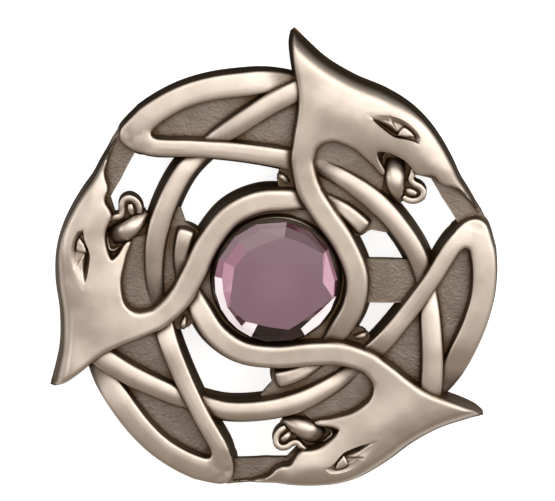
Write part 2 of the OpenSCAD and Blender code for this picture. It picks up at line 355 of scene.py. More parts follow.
# %% [markdown]
# The face is a net of triangles. Its points lie in bands that follow the edge, close together where the
# edge rolls over, and on an even grid in the middle. Blender's own triangulation joins them, and keeps the
# outline and the lines of a feature, such as the rim of the eye, as edges.

# %% Points and triangles of a face
BAND_MET = 0.97
ROWS_APART = 0.866
CLEAR_OF_BAND = 0.35
CLEAR_OF_FEATURE = 0.45


def even_points(outline, step):
    """Points in even triangles over the box of an outline."""
    low, high = outline.min(0), outline.max(0)
    xs = np.arange(low[0], high[0], step)
    ys = np.arange(low[1], high[1], step * ROWS_APART)
    return np.array([(x + step / 2 * (j % 2), y) for j, y in enumerate(ys) for x in xs])


def face_points(outline, normals, bands, grid, features, fine):
    """Points within an outline: bands along its edge, an even grid, and a finer one in a feature."""
    found = []
    for band in bands:
        moved = outline + normals * band
        found.append(moved[(distance_to(moved, outline) > band * BAND_MET) & inside(moved, outline)])
    middle = even_points(outline, grid)
    middle = middle[inside(middle, outline)]
    deepest = max(bands, default=0) + grid * CLEAR_OF_BAND
    found.append(middle[distance_to(middle, outline) > deepest])
    if not features:
        return np.vstack(found)
    close = even_points(outline, fine)
    found = np.vstack(found + [close[inside(close, features[0])]])
    return found[np.min([distance_to(found, loop) for loop in features], axis=0) > fine * CLEAR_OF_FEATURE]


def net(points, loops):
    """Triangles over a set of points, with closed loops of point numbers kept as edges."""
    edges = [(loop[i], loop[(i + 1) % len(loop)]) for loop in loops for i in range(len(loop))]
    made = delaunay_2d_cdt([Vector(p) for p in points], edges, [], 0, 1e-4, True)
    new_numbers = {}
    for new, olds in enumerate(made[3]):
        for old in olds:
            new_numbers.setdefault(old, new)
    flat = np.array([tuple(p) for p in made[0]])
    faces = np.array([tuple(f) for f in made[2]])
    kept = faces[inside(flat[faces].mean(1), points[loops[0]])]
    return flat, [tuple(int(v) for v in f) for f in kept], new_numbers


# %% [markdown]
# The solid is the face, a few rows of wall that flare out like the foot of a mould, and the back, which is
# a net over the lowest row.

# %% Relief solids
def relief(outline, height, spread, grid=0.34, bands=(), features=(), fine=0.2, foot=0.0):
    """A closed solid: a face at height(points, distance to the edge), leaning walls and a flat back."""
    spread = np.ones(len(outline)) * spread
    after = np.roll(outline, -1, axis=0)
    if (outline[:, 0] * after[:, 1] - outline[:, 1] * after[:, 0]).sum() < 0:
        outline, spread = outline[::-1], spread[::-1]
    normals = side_normals(outline, closed=True)
    n = len(outline)
    loops = [list(range(n))]
    for loop in features:
        start = loops[-1][-1] + 1
        loops.append(list(range(start, start + len(loop))))
    within = face_points(outline, normals, bands, grid, features, fine)
    flat, faces, numbers = net(np.vstack([outline, *features, within]), loops)
    edge = [numbers[i] for i in loops[0]]
    z = height(flat, distance_to(flat, outline))
    verts, rows, rim_z = [np.c_[flat, z]], [edge], z[edge]
    reach = clear_spread(outline, normals, spread)
    total = len(flat)
    for out_part, down_part in FLARE:
        moved = outline - normals * (reach * out_part)[:, None]
        verts.append(np.c_[moved, rim_z + (foot - rim_z) * down_part])
        rows.append(list(range(total, total + n)))
        total += n
    for upper, lower in zip(rows, rows[1:]):
        faces += [(upper[(i + 1) % n], upper[i], lower[i], lower[(i + 1) % n]) for i in range(n)]
    _, under, numbers = net(verts[-1][:, :2], [list(range(n))])
    lowest = {numbers[i]: rows[-1][i] for i in range(n)}
    faces += [tuple(lowest[v] for v in reversed(face)) for face in under if all(v in lowest for v in face)]
    return np.vstack(verts), faces


def rounded(part, reach, drop):
    """How far a rounded edge falls below the crown, at a distance from the edge."""
    t = np.clip(1 - part / reach, 0, 1)
    return drop * (1 - (1 - t**2) ** 0.5)


# %% [markdown]
# ## Heights and edges that all forms share
#
# Every strand of the casting has the same kind of face: a broad, gently domed top that ends in a tight
# rounded lip, where the mould was cut with a small tool. Below the lip the wall leans out down to the
# back. The dome gives the soft change of tone across a strand, and the lip gives the thin bright line.

# %% Heights and the fall towards an edge
STRAND_TOP = 4.0
NECK_TOP = 4.3
LOW_TOP = 2.6
GROUND_T = 1.3
DRAFT = 0.8
CROWN_R = 1.8
CROWN_DROP = 0.42
LIP_R = 0.45
LIP_DROP = 0.5
BANDS = (0.03, 0.11, 0.25, 0.45, 0.72, 1.05, 1.4)


def edge_fall(part):
    """How far a face has fallen at a distance from its edge: a broad dome and a tight lip."""
    return CROWN_DROP * np.clip(1 - part / CROWN_R, 0, 1) ** 2 + rounded(part, LIP_R, LIP_DROP)


# %% [markdown]
# ## Strands: a section carried along a path
#
# A strand has the same domed section all the way. It could be a relief too, but a section carried along a
# smooth path needs far fewer points, and its width and height can change from row to row.

# %% Swept strands
ACROSS = np.array([0, 0.02, 0.07, 0.15, 0.27, 0.45, 0.7, 1.0])
SECTION = np.concatenate([ACROSS - 1, 1 - ACROSS[-2::-1]])


def sweep(rows, fall=edge_fall, spread=DRAFT, step=0.4):
    """A closed strand along rows of x, y, width and top, with its back at height 0."""
    line = smooth(rows, step)
    normals = side_normals(line)
    verts = []
    for (x, y, width, top), (nx, ny) in zip(line, normals):
        half = width / 2
        face = top - fall((1 - np.abs(SECTION)) * half)
        side = [half + spread * out_part for out_part, down_part in FLARE]
        wall = [face[0] * (1 - down_part) for out_part, down_part in FLARE]
        across = [-a for a in reversed(side)] + list(SECTION * half) + side
        heights = wall[::-1] + list(face) + wall
        verts += [(x + nx * a, y + ny * a, h) for a, h in zip(across, heights)]
    m = len(SECTION) + 2 * len(FLARE)
    faces = [tuple(range(m))]
    for i in range(len(line) - 1):
        for j in range(m):
            a, b = i * m + j, i * m + (j + 1) % m
            faces.append((a, a + m, b + m, b))
    faces.append(tuple(reversed(range((len(line) - 1) * m, len(line) * m))))
    return np.array(verts), faces


# %% [markdown]
# ## The neck and the head
#
# Each head grows out of its neck without a seam: the ear points outwards, the brow rolls over in a broad
# bright edge, and the cheek sinks a little towards the throat. Head, jaw and neck therefore share one
# outline, and one field of heights that passes through a few named spots.

# %% The neck's path
NECK = [
    # x, y, width, top
    [4.2, 20.5, 3.7, NECK_TOP + 0.25],
    [4.2, 19, 3.7, NECK_TOP + 0.2],
    [5.1, 15, 3.8, NECK_TOP],
    [7.4, 11, 3.9, NECK_TOP],
    [10.8, 6, 3.8, NECK_TOP],
    [12.8, 0.8, 3.8, NECK_TOP],
    [12.35, -4, 3.8, NECK_TOP - 0.3],
    [10.4, -7.8, 3.7, LOW_TOP + 0.8],
    [7.9, -11.8, 3.3, LOW_TOP - 0.6],
    [4.5, -14.75, 2.8, LOW_TOP + 0.2],
    [1.8, -15.9, 2.9, LOW_TOP + 0.6],
    [0.3, -16.3, 3.0, LOW_TOP + 0.5],
]
BLUNT = 0.3
NECK_STEP = 0.35


def strand_edge(line, side, out=0.0):
    """The left edge of a strand (side 1) or its right edge (side -1), moved out by some way."""
    return line[:, :2] + side * side_normals(line) * (line[:, 2:3] / 2 + out)


neck = smooth(NECK, NECK_STEP)
neck_outer, neck_inner = strand_edge(neck, 1), strand_edge(neck, -1)


def round_end(line, steps=7):
    """A blunt bow that closes the end of a strand, from its left side to its right side."""
    run = line[-1, :2] - line[-2, :2]
    run /= np.linalg.norm(run)
    side = np.array([-run[1], run[0]])
    r = line[-1, 2] / 2
    return np.array([
        line[-1, :2] + side * r * math.cos(a) + run * r * BLUNT * math.sin(a)
        for a in np.linspace(0, math.pi, steps + 2)[1:-1]
    ])


# %% [markdown]
# The outline runs once round the head: from the tip of the ear along the brow to the snout, back under the
# mouth, up the inside of the jaw, round the throat, down the outer side of the neck and up the inner one.
# The brow is measured along the foot of its wall, which the eye sees from above, so its line is moved in
# by the lean of that wall.

# %% The outline of head, jaw and neck
OUTLINE_STEP = 0.38
OUTER_FOOT = [
    [2.8, 40.4], [4.6, 38.6], [8, 35.5], [12.5, 32.8], [17.6, 30.6], [21.4, 28.2], [24.28, 25.38],
    [26.47, 22.28], [28.17, 19.18], [29.3, 16.7], [30.6, 14.6], [31.8, 12.5], [32.8, 10.9],
]
EAR_TIP = [2.85, 39.9]
EAR_TIP_END = 3.15
OUTER_DRAFT = 0.3
LEFT_DRAFT = 0.5
THROAT_DRAFT = 0.4
NECK_DRAFT = 0.75
SOFT_ROUNDS = 6
outer_line = smooth(OUTER_FOOT, OUTLINE_STEP)
outer_line = outer_line - side_normals(outer_line) * OUTER_DRAFT
outer_line = np.vstack([EAR_TIP, outer_line[outer_line[:, 0] > EAR_TIP_END]])
SNOUT_UNDER = [
    [32.3, 10.3], [30.6, 12.7], [29.6, 13.8], [28.8, 14.6], [27.9, 15.1], [26.7, 15.35], [25.9, 15.8],
    [25.3, 16.6], [24.7, 17.0], [23.7, 17.05], [22.7, 17.1], [22, 17.4], [21.5, 18.1], [20.8, 19],
    [20, 19.7], [18.5, 20.4], [17, 20.8], [16.2, 20.85],
]
JAW_INSIDE = [[16.05, 20.7], [16.2, 19.95], [16.6, 19], [17, 18.3], [17.25, 17.6], [17.25, 17]]
THROAT = [
    [17.0, 16.7], [16.1, 17.6], [15.5, 18.4], [14.5, 19.4], [12.5, 21.2], [10.5, 22.2], [9.08, 22.6],
    [7.7, 22.35], [6.7, 21.5], [6.15, 20],
]
LEFT_EDGE = [
    [2.4, 20.5], [2.75, 23.5], [3.17, 26], [3.5, 29], [3.4, 31], [3.0, 33.3], [2.6, 35.8], [2.45, 38],
    [2.65, 39.6],
]


def soften(values):
    """Values round a closed outline, with the steps between neighbours made smaller."""
    return (np.roll(values, 1) + values * 2 + np.roll(values, -1)) / 4


outline_runs = [
    # line, how far its wall leans out
    (outer_line, OUTER_DRAFT),
    (smooth(SNOUT_UNDER, OUTLINE_STEP), THROAT_DRAFT),
    (smooth(JAW_INSIDE, OUTLINE_STEP), THROAT_DRAFT),
    (smooth(THROAT, OUTLINE_STEP), THROAT_DRAFT),
    (neck_outer[3:], NECK_DRAFT),
    (round_end(neck), NECK_DRAFT),
    (neck_inner[::-1][:-2], NECK_DRAFT),
    (smooth(LEFT_EDGE, OUTLINE_STEP), LEFT_DRAFT),
]
head_outline = np.vstack([line for line, draft in outline_runs])
head_draft = np.concatenate([np.full(len(line), draft) for line, draft in outline_runs])
for _ in range(SOFT_ROUNDS):
    head_draft = soften(head_draft)
print("points round the head and neck:", len(head_outline))

# %% [markdown]
# The height of the face is known at a few spots: the ear, the brow, the crest of the cheek, the rim of the
# throat, the muzzle. A thin plate that is bent through all of them gives the height in between, without
# the flats and creases that a net of straight lines would leave.

# %% Heights of the head
HEAD_SPOTS = [
    # x, y, height of the face before its edges are rounded
    # ear
    [3.0, 39, 4.3], [3.4, 37, 4.9], [3.9, 35, 5.05], [6.2, 34.5, 4.95],
    # brow, still rising from the outer edge
    [7.6, 31.5, 4.75], [12, 29.4, 4.7], [16.6, 27.9, 4.7], [20.6, 26.4, 4.8], [23.4, 23.4, 4.8],
    [25.2, 20.4, 4.75],
    # outer edge
    [9, 34.2, 4.8], [17, 29.9, 4.75], [23.6, 24.9, 4.8], [27.2, 18.8, 4.7],
    # snout
    [26.6, 18.2, 4.7], [28, 16.2, 4.3], [29.8, 13.9, 3.6], [31.6, 11.4, 2.9],
    # ridge down the left edge to the neck
    [4.6, 32.5, 4.9], [4.9, 30.5, 4.9], [4.6, 27, 4.85], [4.2, 23.5, 4.75], [4.2, 20.5, 4.6], [4.2, 19, 4.5],
    # crest of the cheek
    [8, 28.6, 4.97], [11, 27.2, 4.97], [13.2, 26, 4.93],
    # slope towards the throat, with a slight hollow before its rim
    [8.4, 25.6, 4.84], [11.2, 24.6, 4.8], [9.2, 24.2, 4.7], [13, 23.2, 4.68],
    # rim of the throat and the jaw
    [7.4, 23.4, 4.65], [10.6, 23.1, 4.62], [13.4, 21.8, 4.45], [15.4, 19.9, 4.0], [16.7, 17.6, 3.4],
    # muzzle: high along the eye, lower along the mouth
    [15.6, 24.2, 4.75], [17.2, 23.6, 4.7], [20.5, 22.5, 4.75], [23, 20.8, 4.8], [24.8, 18.8, 4.7],
    [17.5, 21.5, 4.5], [20, 20.3, 4.42], [21.8, 18.7, 4.4], [23.5, 17.7, 4.4], [25.2, 17.4, 4.45],
]
ROLL_R = 4.2
ROLL_DROP = 0.9
BROW_EDGE_R = 2.2
BROW_EDGE_DROP = 3.0
SNOUT_EDGE_R = 0.8
SNOUT_EDGE_DROP = 1.2
SOFT_LIP = 0.75
SOFT_LIP_DROP = 1.0
PLATE_SLACK = 0.02


def thin_plate(spots):
    """A smooth field of heights through spots, as a thin sheet of metal would take it."""
    spots = np.asarray(spots, float)
    xy, z = spots[:, :2], spots[:, 2]

    def bend(a, b):
        r2 = ((a[:, None] - b[None]) ** 2).sum(2)
        return 0.5 * r2 * np.log(r2 + 1e-12)

    n = len(xy)
    flat = np.c_[np.ones(n), xy]
    left = np.block([[bend(xy, xy) + PLATE_SLACK * np.eye(n), flat], [flat.T, np.zeros((3, 3))]])
    weights = np.linalg.solve(left, np.r_[z, 0, 0, 0])
    return lambda p: bend(p, xy) @ weights[:n] + np.c_[np.ones(len(p)), p] @ weights[n:]


head_field = thin_plate(HEAD_SPOTS)
print("spots of the head:", len(HEAD_SPOTS))

# %% [markdown]
# The eye is an almond cut into the brow. Behind, a ledge steps down from the upper rim and ends in a deep
# furrow along the lower rim. In front, a small three-cornered bead stands nearly as high as the face. The
# steep sides of the furrow throw the dark crescent that makes the eye look sharp.

# %% The eye
EYE_UPPER = [
    [14.5, 26.9], [17, 26.9], [19, 26.5], [20.5, 25.8], [21.5, 25], [22.3, 24.1], [22.8, 23.1],
    [22.6, 22.2],
]
EYE_LOWER = [
    [22.6, 22.2], [21.5, 22.7], [20.5, 22.95], [19.5, 23.1], [18.5, 23.4], [17.5, 24.1], [16.5, 24.9],
    [15.5, 25.8], [14.5, 26.9],
]
EYE_BEAD = [
    [19.1, 23.55], [19.55, 24.4], [20, 24.85], [20.5, 24.8], [21.4, 24.1], [21.85, 23.4], [20.5, 23.25],
]
EYE_STEP = 0.25
EYE_GRID = 0.14
EYE_SLOPE = 0.18
SLOPE_SHARE = 0.45
EYE_MIDDLE_Y = 24
LEDGE_DEEP = 0.32
FURROW_DEEP = 1.2
FURROW_ACROSS = (0.08, 0.5)
REAR_X = (14.4, 17.4)
FRONT_X = (18.9, 19.5)
FRONT_LEAN = 0.5
BEAD_DEEP = 0.12
BEAD_R = 0.45
BEAD_DROP = 0.3
GROOVE_DEEP = 0.9
SLANT_WIDE = 0.9
LOWER_WALL = 0.15
LID_HIGH = 0.03
LID_AT = 0.5
LID_WIDE = 0.35
LID_FADE = 0.2
eye_upper, eye_lower = smooth(EYE_UPPER, EYE_STEP), smooth(EYE_LOWER, EYE_STEP)
eye_rim = np.vstack([eye_upper[:-1], eye_lower[:-1]])
eye_bead = np.array(EYE_BEAD)
to_ends = [np.linalg.norm(eye_rim - end, axis=1) for end in (EYE_UPPER[0], EYE_UPPER[-1])]
slope = np.minimum(EYE_SLOPE, SLOPE_SHARE * np.minimum(*to_ends))
eye_foot = eye_rim - side_normals(eye_rim, closed=True) * slope[:, None]


def ease(value, low, high):
    """0 below low, 1 above high and a smooth rise between them."""
    t = np.clip((value - low) / (high - low), 0, 1)
    return t * t * (3 - 2 * t)


def eye_height(points, around):
    """Heights in and round the eye: slanted upper wall, ledge, furrow and bead, with a low lid above."""
    below = distance_to(points, eye_lower, closed=False)
    above = distance_to(points, eye_upper, closed=False)
    across = below / (below + above + 1e-9)
    slant = np.clip(above / SLANT_WIDE, 0, 1)
    furrow = (FURROW_DEEP - LEDGE_DEEP) * (1 - ease(across, *FURROW_ACROSS))
    rear = (LEDGE_DEEP * slant + furrow) * ease(points[:, 0], *REAR_X)
    front = ease(points[:, 0] + FRONT_LEAN * (points[:, 1] - EYE_MIDDLE_Y), *FRONT_X)
    deep = rear + (GROOVE_DEEP * slant - rear) * front
    bead = BEAD_DEEP + rounded(distance_to(points, eye_bead), BEAD_R, BEAD_DROP)
    deep = np.where(inside(points, eye_bead), bead, deep)
    lid = LID_HIGH * np.exp(-(((above - LID_AT) / LID_WIDE) ** 2))
    lid = lid * np.clip(np.minimum(above, below) / LID_FADE, 0, 1)
    within = inside(points, eye_rim)
    return np.where(within, around - deep * np.clip(below / LOWER_WALL, 0, 1), around + lid)


print("points round the eye:", len(eye_rim))

# %% [markdown]
# The face of the head is the bent plate, and the face of the neck follows the heights of its table. They
# pass into each other behind the throat. The face then rolls over towards the brow, and every other edge
# has a lip: a soft one along the neck and the left side of the ear, a tight one round jaw and throat.

# %% The face of head and neck
NECK_TO_HEAD_Y = (17, 21)
SNOUT_X = 12.5
SNOUT_Y = 8
THIN_SNOUT_X = (17, 24)
TIGHT_LIP_X = (6, 8)
TIGHT_LIP_Y = 15
LIP_FADE = 0.5


def head_height(points, edge):
    """Height of the face of head and neck."""
    x, y = points.T
    of_head = ease(y, *NECK_TO_HEAD_Y)
    of_head[(x > SNOUT_X) & (y > SNOUT_Y)] = 1
    crown = head_field(points) * of_head + nearest_values(points, neck, 3) * (1 - of_head)
    to_outer = distance_to(points, outer_line, closed=False)
    thin = ease(x, *THIN_SNOUT_X)
    roll = ROLL_DROP * np.clip(1 - to_outer / ROLL_R, 0, 1) ** 2
    edge_reach = BROW_EDGE_R + (SNOUT_EDGE_R - BROW_EDGE_R) * thin
    roll += rounded(to_outer, edge_reach, BROW_EDGE_DROP + (SNOUT_EDGE_DROP - BROW_EDGE_DROP) * thin)
    soft = 1 - ease(x, *TIGHT_LIP_X) * (y > TIGHT_LIP_Y)
    lip = rounded(edge, LIP_R + (SOFT_LIP - LIP_R) * soft, LIP_DROP + (SOFT_LIP_DROP - LIP_DROP) * soft)
    lip *= np.clip((to_outer - edge) / LIP_FADE, 0, 1)
    return eye_height(points, crown - roll) - lip


eye_lines = [eye_rim, eye_foot]
head_part = relief(head_outline, head_height, head_draft, bands=BANDS, features=eye_lines, fine=EYE_GRID)
print("head and neck:", len(head_part[0]), "points,", len(head_part[1]), "faces")

# %% [markdown]
# ## The leaf loop
#
# Between two heads a strand comes out from under the ear, runs along the rim, turns sharply at a rounded
# corner and goes back towards the stone. At the corner its two arms melt into one broad flat spot, which
# is why the loop is drawn as one outline as well, and not as two crossing strands.

# %% The loop's two arms and its corner
LOOP_OUTER = [
    # x, y, width, top
    [4.2, 30.7, 2.8, LOW_TOP - 0.6],
    [1, 31.35, 3.2, LOW_TOP - 0.3],
    [-2, 31.55, 3.5, LOW_TOP + 0.4],
    [-5.2, 31.35, 3.6, STRAND_TOP - 0.25],
    [-10, 30.75, 3.5, STRAND_TOP],
    [-14.4, 29.5, 3.4, STRAND_TOP],
    [-18.45, 27.35, 3.5, STRAND_TOP],
    [-21.45, 24.95, 3.6, STRAND_TOP - 0.15],
    [-23.3, 22.7, 3.1, STRAND_TOP - 0.5],
]
LOOP_INNER = [
    # x, y, width, top
    [-23.3, 23.4, 3.0, STRAND_TOP - 0.5],
    [-20, 21.75, 2.9, STRAND_TOP + 0.1],
    [-13, 21.4, 2.75, STRAND_TOP + 0.3],
    [-6, 20.8, 2.9, STRAND_TOP],
    [-0.5, 20.0, 3.1, LOW_TOP + 1.2],
    [3.5, 19.1, 3.3, LOW_TOP],
    [4.6, 18.8, 3.3, LOW_TOP],
]
LOOP_CORNER = [
    [-22.1, 26.7], [-23.45, 25.3], [-24.3, 24.2], [-24.5, 23.2], [-24.1, 22.15], [-23.0, 21.15],
    [-21.6, 20.55],
]
outer_arm, inner_arm = smooth(LOOP_OUTER, OUTLINE_STEP), smooth(LOOP_INNER, OUTLINE_STEP)
print("points along the arms:", len(outer_arm), len(inner_arm))

# %% [markdown]
# The outline of the loop is put together from the edges of the two arms, the rounded corner, and a small
# bend where the inner edges of the arms cross. The wall along the rim is steeper than the other walls, so
# the face reaches further out there.

# %% The loop's outline
LOOP_OUTER_DRAFT = 0.37
LOOP_INNER_DRAFT = 0.75
RIM_OUT = 0.35
RIM_FADE = (0.35, 1.0)
CORNER_GAP = 0.3
NOTCH_R = 1.5
NOTCH_POINTS = 6


def crossing(line_a, line_b):
    """Numbers of the first segments of two lines that cross, and the crossing point."""
    for i in range(len(line_a) - 1):
        p, r = line_a[i], line_a[i + 1] - line_a[i]
        for j in range(len(line_b) - 1):
            q, s = line_b[j], line_b[j + 1] - line_b[j]
            det = r[0] * s[1] - r[1] * s[0]
            if abs(det) < 1e-9:
                continue
            t = ((q[0] - p[0]) * s[1] - (q[1] - p[1]) * s[0]) / det
            u = ((q[0] - p[0]) * r[1] - (q[1] - p[1]) * r[0]) / det
            if 0 <= t <= 1 and 0 <= u <= 1:
                return i, j, p + r * t
    raise ValueError("the two lines do not cross")


def clear_of(line, spot):
    """The points of a line that lie away from a spot."""
    return line[np.linalg.norm(line - spot, axis=1) > NOTCH_R]


rim_line, rim_inside = strand_edge(outer_arm, -1, RIM_OUT), strand_edge(outer_arm, 1)
leaf_line, leaf_inside = strand_edge(inner_arm, -1), strand_edge(inner_arm, 1)
corner = smooth(LOOP_CORNER, OUTLINE_STEP)
corner_out = RIM_OUT * (1 - ease(np.linspace(0, 1, len(corner)), *RIM_FADE))
corner = corner - side_normals(corner) * corner_out[:, None]
far_rim = rim_line[rim_line[:, 0] > LOOP_CORNER[0][0] + CORNER_GAP]
far_leaf = leaf_line[leaf_line[:, 0] > LOOP_CORNER[-1][0] + CORNER_GAP]
i, j, notch = crossing(rim_inside, leaf_inside)
leaf_arm = clear_of(leaf_inside[j + 1:][::-1], notch)
rim_arm = clear_of(rim_inside[:i + 1][::-1], notch)
t = np.linspace(0, 1, NOTCH_POINTS)[1:-1, None]
bend = (1 - t) ** 2 * leaf_arm[-1] + 2 * t * (1 - t) * notch + t**2 * rim_arm[0]
loop_outline = np.vstack([far_rim, corner, far_leaf, leaf_arm, bend, rim_arm])
loop_draft = np.full(len(loop_outline), LOOP_INNER_DRAFT)
loop_draft[:len(far_rim)] = LOOP_OUTER_DRAFT
loop_draft[len(far_rim):len(far_rim) + len(corner)] -= corner_out
for _ in range(SOFT_ROUNDS):
    loop_draft = np.minimum(loop_draft, soften(loop_draft))
print("points round the loop:", len(loop_outline))

# %% [markdown]
# The loop takes its height from the nearest rows of its two arms. It rolls over a little towards the rim,
# so that the light on it fades there as in the photograph, and has the same tight lip as every strand.

# %% Height of the leaf loop
LOOP_ROLL_R = 3.4
LOOP_ROLL_DROP = 0.36
ARM_DROP = 0.15
loop_rows = np.vstack([outer_arm, inner_arm])
loop_rim = np.vstack([far_rim, corner])


def loop_height(points, edge):
    """Height of the leaf loop."""
    roll = LOOP_ROLL_DROP * np.clip(1 - distance_to(points, loop_rim, closed=False) / LOOP_ROLL_R, 0, 1) ** 2
    arm = ARM_DROP * np.clip(1 - edge / CROWN_R, 0, 1) ** 2
    return nearest_values(points, loop_rows, 3) - np.maximum(roll, arm) - rounded(edge, LIP_R, LIP_DROP)


loop_part = relief(loop_outline, loop_height, loop_draft, bands=BANDS)
print("leaf loop:", len(loop_part[0]), "points")

# %% [markdown]
# ## The ring strand
#
# The same strand goes on under the neck, comes up behind it and follows the ring of the brooch until it
# dives under the next head.

# %% Ring strand
RING_STRAND = [
    # x, y, width, top
    [3.5, 19.4, 3.0, LOW_TOP - 0.8],
    [7.1, 18.05, 2.9, LOW_TOP - 0.4],
    [10.95, 16.15, 3.0, LOW_TOP + 0.5],
    [15.3, 13.2, 3.3, STRAND_TOP - 0.2],
    [19.4, 8.8, 3.3, STRAND_TOP],
    [22.5, 3.8, 3.2, STRAND_TOP - 0.5],
    [23.85, -0.8, 3.1, LOW_TOP],
    [24.5, -5, 3.3, STRAND_TOP - 0.5],
    [24.9, -10, 3.45, STRAND_TOP],
    [25.0, -13.5, 3.5, STRAND_TOP],
    [24.8, -17, 3.6, STRAND_TOP - 0.1],
    [24.2, -20.5, 3.8, STRAND_TOP - 0.6],
]
ring_part = sweep(RING_STRAND)
print("ring strand:", len(ring_part[0]), "points")

# %% [markdown]
# ## Tongue, curl and mouth
#
# The tongue is a short barrel that points down to the ring strand, and beside it a small curl turns back
# into its own eye. A thin lip lines the mouth, and a drop like a pip lies beside the neck. Each was worked
# by itself in the pattern, so each is a swept strand of its own with a round section.

# %% Tongue, lip, curl and pip
TONGUE = [
    # x, y, width, top
    [18.9, 19.5, 2.9, 1.9],
    [18.9, 18.5, 3.2, 2.8],
    [18.85, 17.4, 3.3, 3.6],
    [18.85, 16.2, 3.2, 3.9],
    [19.0, 15, 2.9, 3.8],
    [19.2, 13.7, 2.4, 3.2],
    [19.4, 12.4, 1.8, 2.3],
]
MOUTH_LIP = [
    # x, y, width, top
    [17.0, 19.2, 0.5, 2.2],
    [17.0, 20.0, 0.5, 2.4],
    [17.4, 20.45, 0.5, 2.5],
    [18.3, 20.3, 0.5, 2.4],
    [19.3, 19.9, 0.5, 2.0],
]
CURL = [
    # x, y, width, top
    [21.8, 17.9, 0.9, 3.0],
    [21.6, 17.0, 0.95, 3.1],
    [21.4, 16.2, 1.0, 3.1],
    [21.95, 15.6, 1.0, 3.1],
    [22.8, 15.15, 1.0, 3.2],
    [23.35, 14.4, 1.0, 3.2],
    [23.25, 13.55, 1.0, 3.2],
    [22.6, 13.0, 1.0, 3.1],
    [21.7, 12.8, 1.0, 3.0],
    [20.8, 13.0, 1.0, 2.9],
    [20.2, 13.4, 0.9, 2.7],
]
CURL_EYE = [
    # x, y, width, top
    [20.2, 14.6, 0.7, 2.3],
    [20.9, 14.45, 0.9, 2.8],
    [21.6, 14.2, 1.0, 3.0],
    [22.2, 13.95, 0.8, 2.9],
]
PIP = [
    # x, y, width, top
    [0.4, 17.0, 0.7, 2.2],
    [0.8, 16.7, 0.85, 2.6],
    [1.4, 16.2, 0.85, 2.6],
    [2.0, 15.6, 0.7, 2.2],
]
BARREL_R = 1.45
BARREL_DROP = 1.5
WIRE_R = 0.4
WIRE_DROP = 0.35


def barrel(part):
    """The fall of the round tongue."""
    return rounded(part, BARREL_R, BARREL_DROP)


def wire(part):
    """The fall of the thin forms."""
    return rounded(part, WIRE_R, WIRE_DROP)


SMALL_FORMS = [
    # rows, fall towards the edge, how far the wall leans out, step along the path
    (TONGUE, barrel, 0.25, 0.3), (CURL, wire, 0.12, 0.2), (CURL_EYE, wire, 0.15, 0.2),
    (MOUTH_LIP, wire, 0.15, 0.2), (PIP, wire, 0.2, 0.2),
]
small_parts = [sweep(rows, fall, spread, step) for rows, fall, spread, step in SMALL_FORMS]
print("small forms:", len(small_parts))

# %% [markdown]
# ## Stippled grounds
#
# Between the strands lie thin plates whose face was punched all over in the pattern, so that they stay
# dull and dark beside the polished strands. A bump in the material would look flat from the side, so the
# punch marks are real: each point of the net is sunk by its own amount. The plates in the throat, in the
# mouth and under the curl are a little smoother.

# %% Ground plates
LOOP_GROUND = [
    [-23.3, 23.4], [-21.8, 25.6], [-17, 29.3], [-9, 31.6], [4, 31.4], [6.5, 21], [3, 19.5], [-8, 21],
    [-20, 21.6],
]
STUB_GROUND = [[5, 17.5], [12, 16.5], [17.5, 11.5], [17.8, 7.4], [15.2, 7.9], [12, 6.6], [9, 9]]
SNOUT_GROUND = [
    [21.2, 18.5], [21.5, 16.9], [24.6, 16.2], [26.3, 13.2], [28.6, 9.6], [31.5, 4.5], [33.9, 5.2],
    [34.25, 6.9], [33.95, 8.6], [33.05, 10.4], [31.7, 12.3], [28.2, 17.6],
]
WEB_GROUND = [[0.5, 14.8], [0.1, 16.1], [0.4, 17.3], [1.3, 18.6], [3.2, 18.6], [3.4, 14.6]]
THROAT_GROUND = [
    [3.8, 20], [6, 24.4], [14, 23.6], [15.6, 21], [16.3, 18.6], [17.2, 17], [16.6, 14], [15, 13.5],
    [8, 17],
]
MOUTH_GROUND = [
    [15.3, 21.6], [20.5, 21.4], [22.3, 18.5], [21.4, 15.6], [20.2, 12.4], [16.4, 13.4], [16.9, 16.6],
    [15.9, 19],
]
CURL_GROUND = [
    [19.9, 15.9], [21.6, 15.7], [22.9, 15.1], [23.3, 14.1], [22.9, 13.2], [21.6, 12.9], [19.9, 13.6],
]
HINGE_GROUND = [[13, 3.2], [22, 3.0], [22.5, -3.9], [13, -3.9]]
STIPPLE_DEEP = 0.045
SMOOTH_DEEP = 0.03
STIPPLE_GRID = 0.24
SIDE_STEP = 0.5
SIDE_BOW = 0.01
PLAIN_EDGE = 0.05
THROAT_TOP = 1.9
MOUTH_TOP = 1.09
CURL_TOP = 1.7
stipple = np.random.default_rng(5)


def ground(corners, top=GROUND_T, deepest=STIPPLE_DEEP):
    """A plate with a punched face and very slightly bowed sides."""
    closed = np.array(corners + corners[:1], float)
    sides = []
    for a, b in zip(closed, closed[1:]):
        t = np.arange(0, 1, min(0.5, SIDE_STEP / np.linalg.norm(b - a)))[:, None]
        bow = np.array([a[1] - b[1], b[0] - a[0]]) * SIDE_BOW * np.sin(math.pi * t)
        sides.append(a + (b - a) * t + bow)

    def face(points, edge):
        deep = stipple.random(len(points)) * deepest
        return top - np.where(edge > PLAIN_EDGE, deep, 0)

    return relief(np.vstack(sides), face, 0.0, grid=STIPPLE_GRID)


ground_parts = [ground(corners) for corners in (LOOP_GROUND, STUB_GROUND, SNOUT_GROUND, WEB_GROUND)]
for corners, top in ((THROAT_GROUND, THROAT_TOP), (MOUTH_GROUND, MOUTH_TOP), (CURL_GROUND, CURL_TOP)):
    ground_parts.append(ground(corners, top, SMOOTH_DEEP))
hinge_part = ground(HINGE_GROUND)
print("points of the grounds:", sum(len(part[0]) for part in ground_parts))

# %% [markdown]
# ## The cup
#
# The stone sits in a round cup with a thin rolled rim, on a disc that joins the three necks. It was turned
# on a lathe, so it is made in the same way: a profile is carried round the axis.

